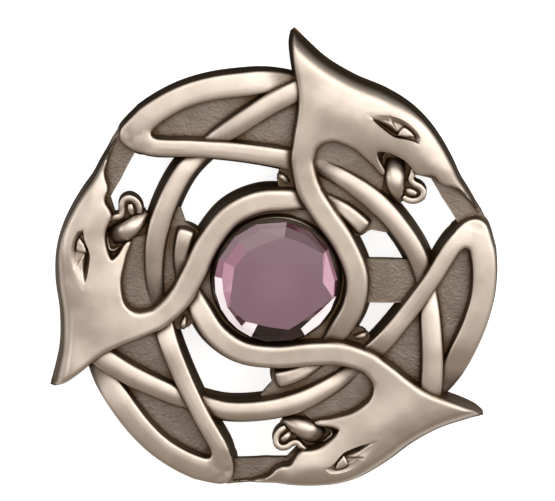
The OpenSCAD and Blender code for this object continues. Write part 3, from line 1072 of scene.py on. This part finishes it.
# %% Cup under the stone
STONE_R = 9.8
CUP_R = STONE_R + 0.12
CUP_WALL = 0.4
CUP_FLOOR = 1.2
RIM_Z = 2.4
DISC_R = CUP_R + 3.4
cup_outside = CUP_R + CUP_WALL
CUP_PROFILE = [
    # radius, height: the disc, the small fillet at the foot of the wall, the rolled rim, the inside
    [DISC_R, 0], [DISC_R, GROUND_T],
    [cup_outside + 0.25, GROUND_T], [cup_outside + 0.05, GROUND_T + 0.2],
    [cup_outside, RIM_Z - 0.45], [cup_outside - 0.08, RIM_Z - 0.18], [cup_outside - 0.25, RIM_Z - 0.03],
    [cup_outside - 0.3, RIM_Z], [CUP_R + 0.06, RIM_Z - 0.04], [CUP_R, RIM_Z - 0.3],
    [CUP_R, CUP_FLOOR],
]


def turned_part(profile, sides=144):
    """A solid of revolution, closed at the axis."""
    verts = [(r * math.cos(a), r * math.sin(a), z)
             for a in np.arange(sides) * 2 * math.pi / sides for r, z in profile]
    m = len(profile)
    faces = []
    for i in range(sides):
        k = (i + 1) % sides
        faces += [(i * m + j, k * m + j, k * m + j + 1, i * m + j + 1) for j in range(m - 1)]
    bottom, top = len(verts), len(verts) + 1
    verts += [(0, 0, profile[0][1]), (0, 0, profile[-1][1])]
    faces += [(bottom, ((i + 1) % sides) * m, i * m) for i in range(sides)]
    faces += [(top, i * m + m - 1, ((i + 1) % sides) * m + m - 1) for i in range(sides)]
    return np.array(verts), faces


cup_part = turned_part(CUP_PROFILE)
print("cup:", len(cup_part[0]), "points")

# %% [markdown]
# ## One casting
#
# Everything so far leaves the mould as one piece of metal, so the forms are fused into one closed mesh.
# Forms that only stand in each other would leave hidden faces inside. The Manifold solver of the Boolean
# modifier fuses them quickly and keeps the mesh closed.

# %% Fuse forms and measure them
def mesh_object(name, part):
    """A Blender object from points in millimetres and faces."""
    verts, faces = part
    data = bpy.data.meshes.new(name)
    data.from_pydata([tuple(v) for v in verts], [], faces)
    data.validate()
    return add_object(name, data)


def combine(base, others):
    """Fuses others into base, one after another, and removes them."""
    for other in others:
        step = base.modifiers.new("fuse", "BOOLEAN")
        step.operation = "UNION"
        step.solver = "MANIFOLD"
        step.object = other
        bpy.context.view_layer.update()
        fused = bpy.data.meshes.new_from_object(base.evaluated_get(bpy.context.evaluated_depsgraph_get()))
        base.modifiers.clear()
        base.data = fused
        bpy.data.objects.remove(other)
    return base


def volume(made):
    """Volume of a closed mesh, in the units of its points."""
    data = made.data
    data.calc_loop_triangles()
    co = np.empty(len(data.vertices) * 3)
    data.vertices.foreach_get("co", co)
    co = co.reshape(-1, 3)
    tri = np.array([t.vertices[:] for t in data.loop_triangles])
    return float(np.einsum("ij,ij->i", co[tri[:, 0]], np.cross(co[tri[:, 1]], co[tri[:, 2]])).sum() / 6)


# %% [markdown]
# One third of the brooch is fused first. Two copies of it are turned by 120 degrees each and fused to it,
# and then come the two forms that occur only once: the plate between hinge and stone, and the cup.

# %% Fuse the casting
sector_parts = [head_part, loop_part, ring_part] + small_parts + ground_parts
pieces = [mesh_object("part_%02d" % i, part) for i, part in enumerate(sector_parts)]
for made in pieces:
    print(made.name, "volume", round(volume(made), 2))
sector = combine(pieces[0], pieces[1:])
print("one sector:", len(sector.data.vertices), "points, volume", round(volume(sector), 1))
others = []
for turn in (120, 240):
    data = sector.data.copy()
    data.transform(Matrix.Rotation(math.radians(turn), 4, "Z"))
    others.append(add_object("sector_%d" % turn, data))
others += [mesh_object("hinge_ground", hinge_part), mesh_object("cup", cup_part)]
cast = combine(sector, others)
cast.name = "cast_body"
print("cast body:", len(cast.data.polygons), "faces, volume", round(volume(cast), 1))

# %% [markdown]
# The fused mesh is laid down, and its edges are kept sharp only where two forms meet at an angle.

# %% Lay the casting down
CREASE = math.radians(42)


def settle(made, crease=CREASE):
    """Lays a piece down with the brooch and smooths its faces up to a crease angle."""
    made.data.transform(lay_down)
    made.data.shade_smooth()
    made.data.set_sharp_from_angle(angle=crease)
    return made


settle(cast)
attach(cast, "root")
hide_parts("casting")
print("edges kept sharp from", round(math.degrees(CREASE)), "degrees")

# %% [markdown]
# ## Patina and painted shade in the recesses
#
# Antique pewter is darkened all over with acid and then polished, so the dark stays where the polishing
# cloth can't reach: in corners, beside strands and on steep walls. The masks carry painted shade besides
# that patina: the brown of the low places also falls on strands where they dip under another, and the
# corners, the floor of the mouth and the steep walls are made darker than the patina, as painted shade. A
# painted mask would have to be painted again after each change of shape, so a node group works it out. It
# measures how open each point is to its surroundings, how much it faces the same way as the brooch, and
# how high it stands over the back. The pin has recesses as well, so this is a group that both materials
# use with their own values.

# %% Group: recess
def group(name, inputs, outputs):
    """An empty node group with named inputs and outputs."""
    tree = bpy.data.node_groups.new(name, "ShaderNodeTree")
    for label, value in inputs.items():
        tree.interface.new_socket(label, in_out="INPUT", socket_type="NodeSocketFloat").default_value = value
    for label in outputs:
        tree.interface.new_socket(label, in_out="OUTPUT", socket_type="NodeSocketFloat")
    return tree, tree.nodes.new("NodeGroupInput").outputs, tree.nodes.new("NodeGroupOutput").inputs


BACK_DOTS = (-0.6, -0.9)
# Steep walls take patina and painted shade; low places take the patina of the grounds, and painted shade on
# strands where they dip under another; deep places, the floor of the mouth, take painted shade.
WALL_DOT = 0.32
LOW_HEIGHTS = (2.9 * MM, 2.1 * MM)
DEEP_HEIGHTS = (1.15 * MM, 1.03 * MM)


def along_up(tree, vector):
    """How far a vector reaches along the way that the brooch faces."""
    return place(tree, "ShaderNodeVectorMath", {"operation": "DOT_PRODUCT"}, {
        0: vector, 1: tuple(brooch_up),
    }).outputs["Value"]


def make_recess():
    """Masks for the patina and the painted shade of corners, walls, low and deep places, and for the back.
    """
    outputs = ("Corner", "Wall", "Low", "Deep", "Back")
    tree, given, result = group("recess", {"Reach": 0.002, "Steep": 0.5}, outputs)
    open_sky = place(tree, "ShaderNodeAmbientOcclusion", {"samples": 8, "only_local": True}, {
        "Distance": given["Reach"],
    })
    tree.links.new(math_node(tree, "SUBTRACT", 1.0, open_sky.outputs["AO"]), result["Corner"])
    facing = along_up(tree, place(tree, "ShaderNodeNewGeometry").outputs["Normal"])
    behind = remap(tree, facing, *BACK_DOTS)
    tree.links.new(behind, result["Back"])
    in_front = math_node(tree, "SUBTRACT", 1.0, behind)
    steep = remap(tree, facing, given["Steep"], WALL_DOT)
    tree.links.new(math_node(tree, "MULTIPLY", steep, in_front), result["Wall"])
    over = along_up(tree, place(tree, "ShaderNodeTexCoord").outputs["Object"])
    back_height = (lay_down @ Vector((0, 0, 0))).dot(brooch_up)
    height = math_node(tree, "SUBTRACT", over, back_height)
    for label, heights in (("Low", LOW_HEIGHTS), ("Deep", DEEP_HEIGHTS)):
        share = math_node(tree, "MULTIPLY", remap(tree, height, *heights), in_front)
        tree.links.new(share, result[label])
    print("recess group:", len(tree.nodes), "nodes")
    return tree


recess_group = make_recess()

# %% [markdown]
# ## Brushed grain
#
# A wire brush leaves fine short scratches, years of wear leave broad soft blotches, the punched grounds
# are speckled, and the unpolished back keeps the skin that the mould gave it. The group puts out a value
# for each, for the bump, the roughness and the colour.

# %% Group: grain
BRUSH_TURN = 0.6
BRUSH_STRETCH = 6
SCRATCH_SCALE = 900


def make_grain():
    """Values between 0 and 1 for the fine texture of the metal."""
    outputs = ("Scratches", "Blotches", "Speckle", "Skin")
    tree, given, result = group("grain", {"Fineness": 1.0}, outputs)
    where = place(tree, "ShaderNodeTexCoord").outputs["Object"]
    stretched = place(tree, "ShaderNodeMapping", {}, {
        "Vector": where, "Rotation": (0, 0, BRUSH_TURN), "Scale": (1, BRUSH_STRETCH, 1),
    }).outputs[0]
    fine = math_node(tree, "MULTIPLY", given["Fineness"], SCRATCH_SCALE)
    noises = [
        # output, place, scale, detail, roughness
        ("Scratches", stretched, fine, 4, 0.7),
        ("Blotches", where, 260, 3, 0.55),
        ("Skin", where, 1100, 5, 0.65),
    ]
    for label, vector, scale, detail, rough in noises:
        noise = place(tree, "ShaderNodeTexNoise", {}, {
            "Vector": vector, "Scale": scale, "Detail": detail, "Roughness": rough,
        })
        tree.links.new(noise.outputs[0], result[label])
    speckle = place(tree, "ShaderNodeTexVoronoi", {}, {"Vector": where, "Scale": 2600})
    tree.links.new(speckle.outputs["Distance"], result["Speckle"])
    print("grain group:", len(tree.nodes), "nodes")
    return tree


grain_group = make_grain()

# %% [markdown]
# ## The pewter
#
# The finish is built up in layers: a bright brushed metal first, then the brown of the acid over the low
# grounds and the steep walls, which also lays painted shade on strands where they dip under another, a
# deeper brown on the walls alone, which is painted shade, and a warm brown in the corners and on the
# floor of the mouth, partly patina and partly painted shade. The back is only cast, so it is a plain
# duller grey. The brown parts are rougher, and the grounds get their punch marks.

# %% Antiqued pewter
PEWTER_BRIGHT = (0.74, 0.65, 0.565, 1)
PEWTER_WORN = (0.7, 0.605, 0.52, 1)
# Acid patina, and painted shade on strands that dip under another; painted shade on the walls; patina and
# painted shade in the corners and the mouth
ACID_AND_SHADE_BROWN = (0.15, 0.112, 0.083, 1)
WALL_SHADE_BROWN = (0.085, 0.05, 0.014, 1)
CORNER_PATINA_AND_SHADE = (0.13, 0.08, 0.042, 1)
CAST_GREY = (0.42, 0.37, 0.32, 1)
LOW_SHARE = 0.75
WALL_SHARE = 0.65
BLOTCH = 0.06
CORNER_RANGE = (0.15, 0.52)
BLOTCH_RANGE = (0.3, 0.7)
WORN_RANGE = (0.35, 0.65)
PEWTER_ROUGHNESS = (0.4, 0.5)
PUNCH_HIGH = 4.0
SKIN_HIGH = 9.0


def new_material(name):
    """A material, its node tree and its shader."""
    made = bpy.data.materials.new(name)
    made.use_nodes = True
    return made, made.node_tree, made.node_tree.nodes["Principled BSDF"]


def use(tree, made_group, values=None):
    """Places a group in a material, with its own values, and gives its outputs."""
    node = place(tree, "ShaderNodeGroup", {"node_tree": made_group}, values)
    return node.outputs


def make_pewter():
    """The material of the casting."""
    made, tree, shader = new_material("antiqued_pewter")
    recess = use(tree, recess_group, {"Reach": 0.0014, "Steep": 0.62})
    grain = use(tree, grain_group)
    off_wall = math_node(tree, "SUBTRACT", 1.0, recess["Wall"])
    # Patina and painted shade in the corners, and painted shade on the floor of the mouth
    corner = remap(tree, recess["Corner"], *CORNER_RANGE)
    corner = math_node(tree, "MAXIMUM", corner, math_node(tree, "MULTIPLY", recess["Deep"], off_wall))
    # Patina of the low grounds and the walls, and painted shade on strands where they dip under another
    low = math_node(tree, "MULTIPLY", recess["Low"], LOW_SHARE)
    brown = math_node(tree, "MAXIMUM", recess["Wall"], low)
    blotch = remap(tree, grain["Blotches"], *BLOTCH_RANGE, -BLOTCH, BLOTCH)
    brown = place(tree, "ShaderNodeClamp", {}, {0: math_node(tree, "ADD", brown, blotch)}).outputs[0]
    colour = mix_colour(tree, remap(tree, grain["Blotches"], *WORN_RANGE), PEWTER_BRIGHT, PEWTER_WORN)
    # Painted shade on the steep walls, deeper than their patina
    on_wall = math_node(tree, "MULTIPLY", recess["Wall"], WALL_SHARE)
    layers = (
        (brown, ACID_AND_SHADE_BROWN), (on_wall, WALL_SHADE_BROWN), (recess["Back"], CAST_GREY), (corner, CORNER_PATINA_AND_SHADE),
    )
    for share, layer in layers:
        colour = mix_colour(tree, share, colour, layer)
    tree.links.new(colour, shader.inputs["Base Color"])
    shader.inputs["Metallic"].default_value = 1.0
    dark = math_node(tree, "MAXIMUM", math_node(tree, "MAXIMUM", corner, brown), recess["Back"])
    tree.links.new(remap(tree, dark, 0.0, 1.0, *PEWTER_ROUGHNESS), shader.inputs["Roughness"])
    punched = math_node(tree, "MULTIPLY", grain["Speckle"], recess["Low"])
    punched = math_node(tree, "MULTIPLY", punched, off_wall)
    skin = math_node(tree, "MULTIPLY", grain["Skin"], recess["Back"])
    height = math_node(tree, "ADD", grain["Scratches"], math_node(tree, "MULTIPLY", punched, PUNCH_HIGH))
    height = math_node(tree, "ADD", height, math_node(tree, "MULTIPLY", skin, SKIN_HIGH))
    bump = place(tree, "ShaderNodeBump", {}, {"Strength": 0.25, "Distance": 0.00003, "Height": height})
    tree.links.new(bump.outputs[0], shader.inputs["Normal"])
    return made


cast.data.materials.clear()
cast.data.materials.append(make_pewter())
print("pewter:", len(cast.data.materials[0].node_tree.nodes), "nodes")

# %% [markdown]
# ## The stone
#
# The stone is a dull mauve glass with a table, two rows of facets over the girdle and plain facets under
# it. Its cut is uneven, so a list gives the direction of each corner and how far out it lies. The backing
# behind the glass lets hardly any light through. Clear glass would need its backing modelled too, and
# would still look different from every side, so each facet shows one flat tone of painted light or shade
# from a short palette: pale where it would mirror a light, dark where it would mirror the dark, white
# where it would glint. The mesh carries these painted tones as a colour attribute.

# %% Cut the stone
GIRDLE_Z = 4.2
GIRDLE_THICK = 0.3
TABLE_Z = 5.8
MIDDLE_Z = TABLE_Z - 0.65
CULET_Z = 1.8
# Painted light and shade of the facets: each tone stands for what a facet would mirror
PAINTED_FACET_TONES = {
    "plum": (0.06, 0.018, 0.032, 1),
    "mauve": (0.235, 0.14, 0.178, 1),
    "grey": (0.25, 0.165, 0.19, 1),
    "ash": (0.31, 0.225, 0.255, 1),
    "rose": (0.37, 0.185, 0.26, 1),
    "pink": (0.62, 0.34, 0.45, 1),
    "painted_glint": (0.98, 0.9, 0.95, 1),
    "black": (0.02, 0.012, 0.01, 1),
}
FACETS = [
    # direction in degrees, radii of the table and of the middle, painted tones by the table and by the
    # girdle
    (-14, 9.3, 9.55, "pink", "plum"), (2, 7.4, 9.3, "pink", "rose"), (33, 8.9, 9.4, "plum", "plum"),
    (57, 7.8, 9.1, "plum", "plum"), (80, 7.7, 9.2, "grey", "ash"), (108, 6.7, 8.9, "grey", "ash"),
    (132, 6.9, 8.8, "rose", "ash"), (158, 7.1, 8.9, "pink", "rose"), (175, 6.9, 8.6, "pink", "painted_glint"),
    (190, 7.2, 8.5, "pink", "painted_glint"), (207, 8.2, 8.7, "mauve", "painted_glint"), (220, 7.9, 8.6, "plum", "painted_glint"),
    (232, 7.8, 8.9, "painted_glint", "painted_glint"), (246, 7.2, 8.7, "black", "black"), (262, 7.1, 8.6, "black", "black"),
    (285, 7.7, 8.6, "black", "black"), (298, 7.4, 8.4, "black", "painted_glint"), (315, 7.5, 8.1, "plum", "painted_glint"),
    (332, 8.1, 8.6, "mauve", "painted_glint"),
]


def cut_stone():
    """The stone's points and faces, and the painted tone of every face."""
    verts = []
    for column, height in ((1, TABLE_Z), (2, MIDDLE_Z), (None, GIRDLE_Z), (None, GIRDLE_Z - GIRDLE_THICK)):
        for row in FACETS:
            r, way = STONE_R if column is None else row[column], math.radians(row[0])
            verts.append((r * math.cos(way), r * math.sin(way), height))
    verts.append((0, 0, CULET_Z))
    n = len(FACETS)
    faces, tones = [tuple(range(n))], ["mauve"]
    for i in range(n):
        k = (i + 1) % n
        for ring, tone in enumerate((FACETS[i][3], FACETS[i][4], "plum")):
            a = ring * n
            faces.append((a + i, a + n + i, a + n + k, a + k))
            tones.append(tone)
        faces.append((3 * n + i, 4 * n, 3 * n + k))
        tones.append("plum")
    return (np.array(verts), faces), tones


stone_part, stone_tones = cut_stone()
cut = mesh_object("cut_stone", stone_part)
tone_layer = cut.data.color_attributes.new("painted_facet_tone", "FLOAT_COLOR", "CORNER")
for face, tone in zip(cut.data.polygons, stone_tones):
    for corner_number in face.loop_indices:
        tone_layer.data[corner_number].color = PAINTED_FACET_TONES[tone]
cut.data.transform(lay_down)
cut.data.shade_flat()
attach(cut, "root")
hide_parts("stone")
print("stone:", len(stone_part[1]), "facets, volume", round(volume(cut) / MM**3, 1))

# %% [markdown]
# The stone's surface is polished and thinly coated, so that the lights mirror in it. The middle of the
# table is painted lighter, a painted pool of the light that the backing would throw back, and the palest
# facets, its painted glints, glow a little though they are no lamp.

# %% The stone's material
CLOUD_ROSE = (0.3, 0.1, 0.16, 1)
# Painted light: a paler pool in the middle of the table, and the glow of the painted glints
PAINTED_POOL_MAUVE = (0.31, 0.175, 0.225, 1)
PAINTED_GLINT_LIGHT = (1, 0.93, 0.97, 1)
PAINTED_POOL_REACH = 6 * MM
PAINTED_POOL_SHARE = 0.55
CLOUD_RANGE = (0.3, 0.7)
CLOUD_SHARE = 0.12
PAINTED_GLINT_GREEN = (0.6, 0.85)


def make_stone():
    """The material of the stone."""
    made, tree, shader = new_material("mauve_stone")
    where = place(tree, "ShaderNodeTexCoord").outputs["Object"]
    facet = place(tree, "ShaderNodeAttribute", {"attribute_name": "painted_facet_tone"}).outputs["Color"]
    cloud = place(tree, "ShaderNodeTexNoise", {}, {"Vector": where, "Scale": 180, "Detail": 2}).outputs[0]
    colour = mix_colour(tree, remap(tree, cloud, *CLOUD_RANGE, 0.0, CLOUD_SHARE), facet, CLOUD_ROSE)
    # A painted pool of light in the middle of the table
    table_middle = tuple(lay_down @ Vector((0, 0, TABLE_Z)))
    reach = place(tree, "ShaderNodeVectorMath", {"operation": "DISTANCE"}, {
        0: where, 1: table_middle,
    }).outputs["Value"]
    colour = mix_colour(tree, remap(tree, reach, PAINTED_POOL_REACH, 0.0, 0.0, PAINTED_POOL_SHARE), colour, PAINTED_POOL_MAUVE)
    tree.links.new(colour, shader.inputs["Base Color"])
    # The palest facets, the painted glints, glow though they are no lamp
    green = place(tree, "ShaderNodeSeparateColor", {}, {0: facet}).outputs["Green"]
    painted_glint = mix_colour(tree, remap(tree, green, *PAINTED_GLINT_GREEN), (0, 0, 0, 1), PAINTED_GLINT_LIGHT)
    tree.links.new(painted_glint, shader.inputs["Emission Color"])
    shader.inputs["Emission Strength"].default_value = 0.3
    shader.inputs["Roughness"].default_value = 0.08
    shader.inputs["IOR"].default_value = 1.54
    shader.inputs["Transmission Weight"].default_value = 0.0
    shader.inputs["Coat Weight"].default_value = 0.2
    shader.inputs["Coat Roughness"].default_value = 0.03
    return made


cut.data.materials.append(make_stone())
print("tones of the stone:", len(PAINTED_FACET_TONES))

# %% [markdown]
# ## The pin fitting
#
# The photograph doesn't show the back, so the fitting is the usual one: a bar soldered across the back, a
# hinge of three knuckles at one end, a rolled catch at the other and a round stem that tapers to a point.
# Its forms are turned and bent separately and fused into one piece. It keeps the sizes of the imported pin.

# %% Sizes of the pin fitting
PIN_REACH = 21
BAR_WIDE = 4
BAR_GAP = 0.1
BAR_THICK = 0.9
BAR_EDGE = 0.3
STEM_R = 0.6
STEM_Z = -PIN_DEPTH
LUG_WIDE = 3.4
LUG_AT = PIN_REACH - LUG_WIDE / 2
LEG_INSET = 0.05
HOOK_R = 0.9
HOOK_OPEN = 35
HOOK_POINTS = 30
BAR_GRID = 1.2
BAR_BANDS = (0.05, 0.12, 0.22, 0.35)
END_LONG = 0.15
END_SIZE = 0.94
KNUCKLES = [
    # radius, distance along the hinge
    [1.3, -1.7], [1.5, -1.5], [1.5, -0.66], [1.36, -0.6], [1.36, -0.54], [1.5, -0.48],
    [1.5, 0.48], [1.36, 0.54], [1.36, 0.6], [1.5, 0.66], [1.5, 1.5], [1.3, 1.7],
]
STEM = [
    # radius, distance along the pin
    [STEM_R, -LUG_AT], [STEM_R, 9], [0.55, 13], [0.42, 17], [0.3, 19.5], [0.14, 20.6], [0.04, 20.9],
]
print("radius of the stem in mm, from hinge to point:", STEM[0][0], "to", STEM[-1][0])

# %% [markdown]
# The knuckles and the stem are turned upright, like the cup, and then laid along the pin. The two legs and
# the rolled catch have the same section all along, so each is a prism, and the bar is a small relief that
# is made with its face up and turned over.

# %% The forms of the fitting
def along_pin(part, x=0.0):
    """Turns a form from the upright axis to the axis of the pin."""
    verts, faces = part
    return np.c_[verts[:, 2] + x, verts[:, 1] + PIN_Y, STEM_Z - verts[:, 0]], faces


def prism(section, x_from, x_to):
    """A closed form with one section of points y, z all along the pin, its two ends slightly smaller."""
    section = np.array(section)
    m, middle = len(section), section.mean(0)
    rows = [(x_from, END_SIZE), (x_from + END_LONG, 1), (x_to - END_LONG, 1), (x_to, END_SIZE)]
    last = len(rows) - 1
    verts = np.vstack([np.c_[np.full(m, x), middle + (section - middle) * size] for x, size in rows])
    faces = [tuple(range(m)), tuple(reversed(range(last * m, (last + 1) * m)))]
    for i in range(last):
        for j in range(m):
            a, b = i * m + j, i * m + (j + 1) % m
            faces.append((a, a + m, b + m, b))
    return verts, faces


def pin_leg(skip=0):
    """Section of a leg from the barrel up to the bar, without its lowest points where they are skipped."""
    top = -BAR_GAP - BAR_THICK / 2
    side = [
        # half its width, height
        (1.35, STEM_Z + 0.3), (1.1, STEM_Z + 1.2), (1.15, STEM_Z + 2.4), (1.5, top - 0.5), (1.6, top),
    ][skip:]
    return [(PIN_Y + y, z) for y, z in side] + [(PIN_Y - y, z) for y, z in reversed(side)]


def catch_hook():
    """Section of the rolled catch: a tube that is open on one side."""
    ways = np.radians(np.linspace(HOOK_OPEN, 360 - HOOK_OPEN, HOOK_POINTS))
    outer = [(PIN_Y + LUG_R * math.cos(way), STEM_Z + LUG_R * math.sin(way)) for way in ways]
    inner = [(PIN_Y + HOOK_R * math.cos(way), STEM_Z + HOOK_R * math.sin(way)) for way in ways[::-1]]
    return outer + inner


def bar_height(points, edge):
    """Height of the bar's outer face, with a rounded edge."""
    return BAR_GAP + BAR_THICK - rounded(edge, BAR_EDGE, BAR_EDGE)


def base_bar():
    """The bar with its two round ends, made upwards and turned over."""
    ways = np.radians(np.arange(0, 360, 12))
    ends = np.sign(np.cos(ways)) * (PIN_REACH - BAR_WIDE / 2)
    outline = np.c_[ends + BAR_WIDE / 2 * np.cos(ways), PIN_Y + BAR_WIDE / 2 * np.sin(ways)]
    verts, faces = relief(outline, bar_height, 0.0, grid=BAR_GRID, bands=BAR_BANDS, foot=BAR_GAP)
    return verts * (1, 1, -1), [tuple(reversed(face)) for face in faces]


# %% [markdown]
# Turning a form over or laying it along the pin can leave its faces looking inwards. Its volume then comes
# out below zero, and its faces are flipped before the forms are fused.

# %% Fuse the fitting
PIN_CREASE = math.radians(35)
pin_parts = [
    base_bar(),
    prism(pin_leg(), -PIN_REACH + LEG_INSET, -PIN_REACH + LUG_WIDE - LEG_INSET),
    prism(pin_leg(skip=1), PIN_REACH - LUG_WIDE + LEG_INSET, PIN_REACH - LEG_INSET),
    prism(catch_hook(), PIN_REACH - LUG_WIDE, PIN_REACH),
    along_pin(turned_part(KNUCKLES, 48), -LUG_AT),
    along_pin(turned_part(STEM, 32)),
]
pin_pieces = []
for number, part in enumerate(pin_parts):
    made = mesh_object("pin_part_%d" % number, part)
    if volume(made) < 0:
        made.data.flip_normals()
    print(made.name, "volume", round(volume(made), 2))
    pin_pieces.append(made)
pin = combine(pin_pieces[0], pin_pieces[1:])
pin.name = "pin_fitting"
settle(pin, PIN_CREASE)
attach(pin, "root")
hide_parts("brooch_pin")
print("pin fitting:", len(pin.data.polygons), "faces")

# %% [markdown]
# The pin is plain plated steel that has lost its first shine. It uses the same two groups as the pewter,
# with finer scratches, and takes only the corners from the recesses: it turns darker where it is closed in.

# %% Dulled steel
STEEL = (0.62, 0.6, 0.57, 1)
STEEL_CORNER_DARK = (0.2, 0.17, 0.14, 1)
CORNER_DARK_RANGE = (0.3, 0.9)
SCRATCH_RANGE = (0.3, 0.7)
STEEL_ROUGHNESS = (0.28, 0.42)


def make_pin_steel():
    """The material of the pin fitting."""
    made, tree, shader = new_material("dulled_steel")
    grain = use(tree, grain_group, {"Fineness": 1.4})
    recess = use(tree, recess_group, {"Reach": 0.0015})
    # Darker where the pin is closed in, by how open each point is
    colour = mix_colour(tree, remap(tree, recess["Corner"], *CORNER_DARK_RANGE), STEEL, STEEL_CORNER_DARK)
    tree.links.new(colour, shader.inputs["Base Color"])
    shader.inputs["Metallic"].default_value = 1.0
    roughness = remap(tree, grain["Scratches"], *SCRATCH_RANGE, *STEEL_ROUGHNESS)
    tree.links.new(roughness, shader.inputs["Roughness"])
    bump = place(tree, "ShaderNodeBump", {}, {
        "Strength": 0.2, "Distance": 0.00003, "Height": grain["Scratches"],
    })
    tree.links.new(bump.outputs[0], shader.inputs["Normal"])
    return made


pin.data.materials.clear()
pin.data.materials.append(make_pin_steel())
print("materials of the pin:", len(pin.data.materials))

# %% [markdown]
# ## The floor
#
# The walls that the camera sees face the side of the upper ear, and a pale floor there would brighten all
# of them, though they should stay brown. So the camera sees the floor plain and nearly white, while the
# metal mirrors a floor that turns dark on that side.

# %% Pale floor
FLOOR_PALE = (0.9, 0.9, 0.9, 1)
FLOOR_PALER = (0.94, 0.94, 0.94, 1)
FLOOR_SHADE = (0.03, 0.025, 0.02, 1)
SHADE_Y = (-0.005, 0.025)
SHADE_SHARE = (0.15, 0.95)
FLOOR_GLOW = 0.75


def make_floor():
    """The material of the floor, which is pale to the camera and dark to the metal."""
    made, tree, shader = new_material("pale_floor")
    where = place(tree, "ShaderNodeTexCoord").outputs["Object"]
    mottled = place(tree, "ShaderNodeTexNoise", {}, {"Vector": where, "Scale": 40, "Detail": 4}).outputs[0]
    pale = mix_colour(tree, mottled, FLOOR_PALE, FLOOR_PALER)
    seen = place(tree, "ShaderNodeLightPath").outputs["Is Camera Ray"]
    away = place(tree, "ShaderNodeSeparateXYZ", {}, {0: where}).outputs["Y"]
    shade = remap(tree, away, *SHADE_Y, *SHADE_SHARE)
    shade = math_node(tree, "MULTIPLY", shade, math_node(tree, "SUBTRACT", 1.0, seen))
    tree.links.new(mix_colour(tree, shade, pale, FLOOR_SHADE), shader.inputs["Base Color"])
    shader.inputs["Roughness"].default_value = 0.8
    shader.inputs["Emission Color"].default_value = (1, 1, 1, 1)
    tree.links.new(math_node(tree, "MULTIPLY", seen, FLOOR_GLOW), shader.inputs["Emission Strength"])
    return made


floor.data.materials.append(make_floor())
print("nodes of the floor:", len(floor.data.materials[0].node_tree.nodes))
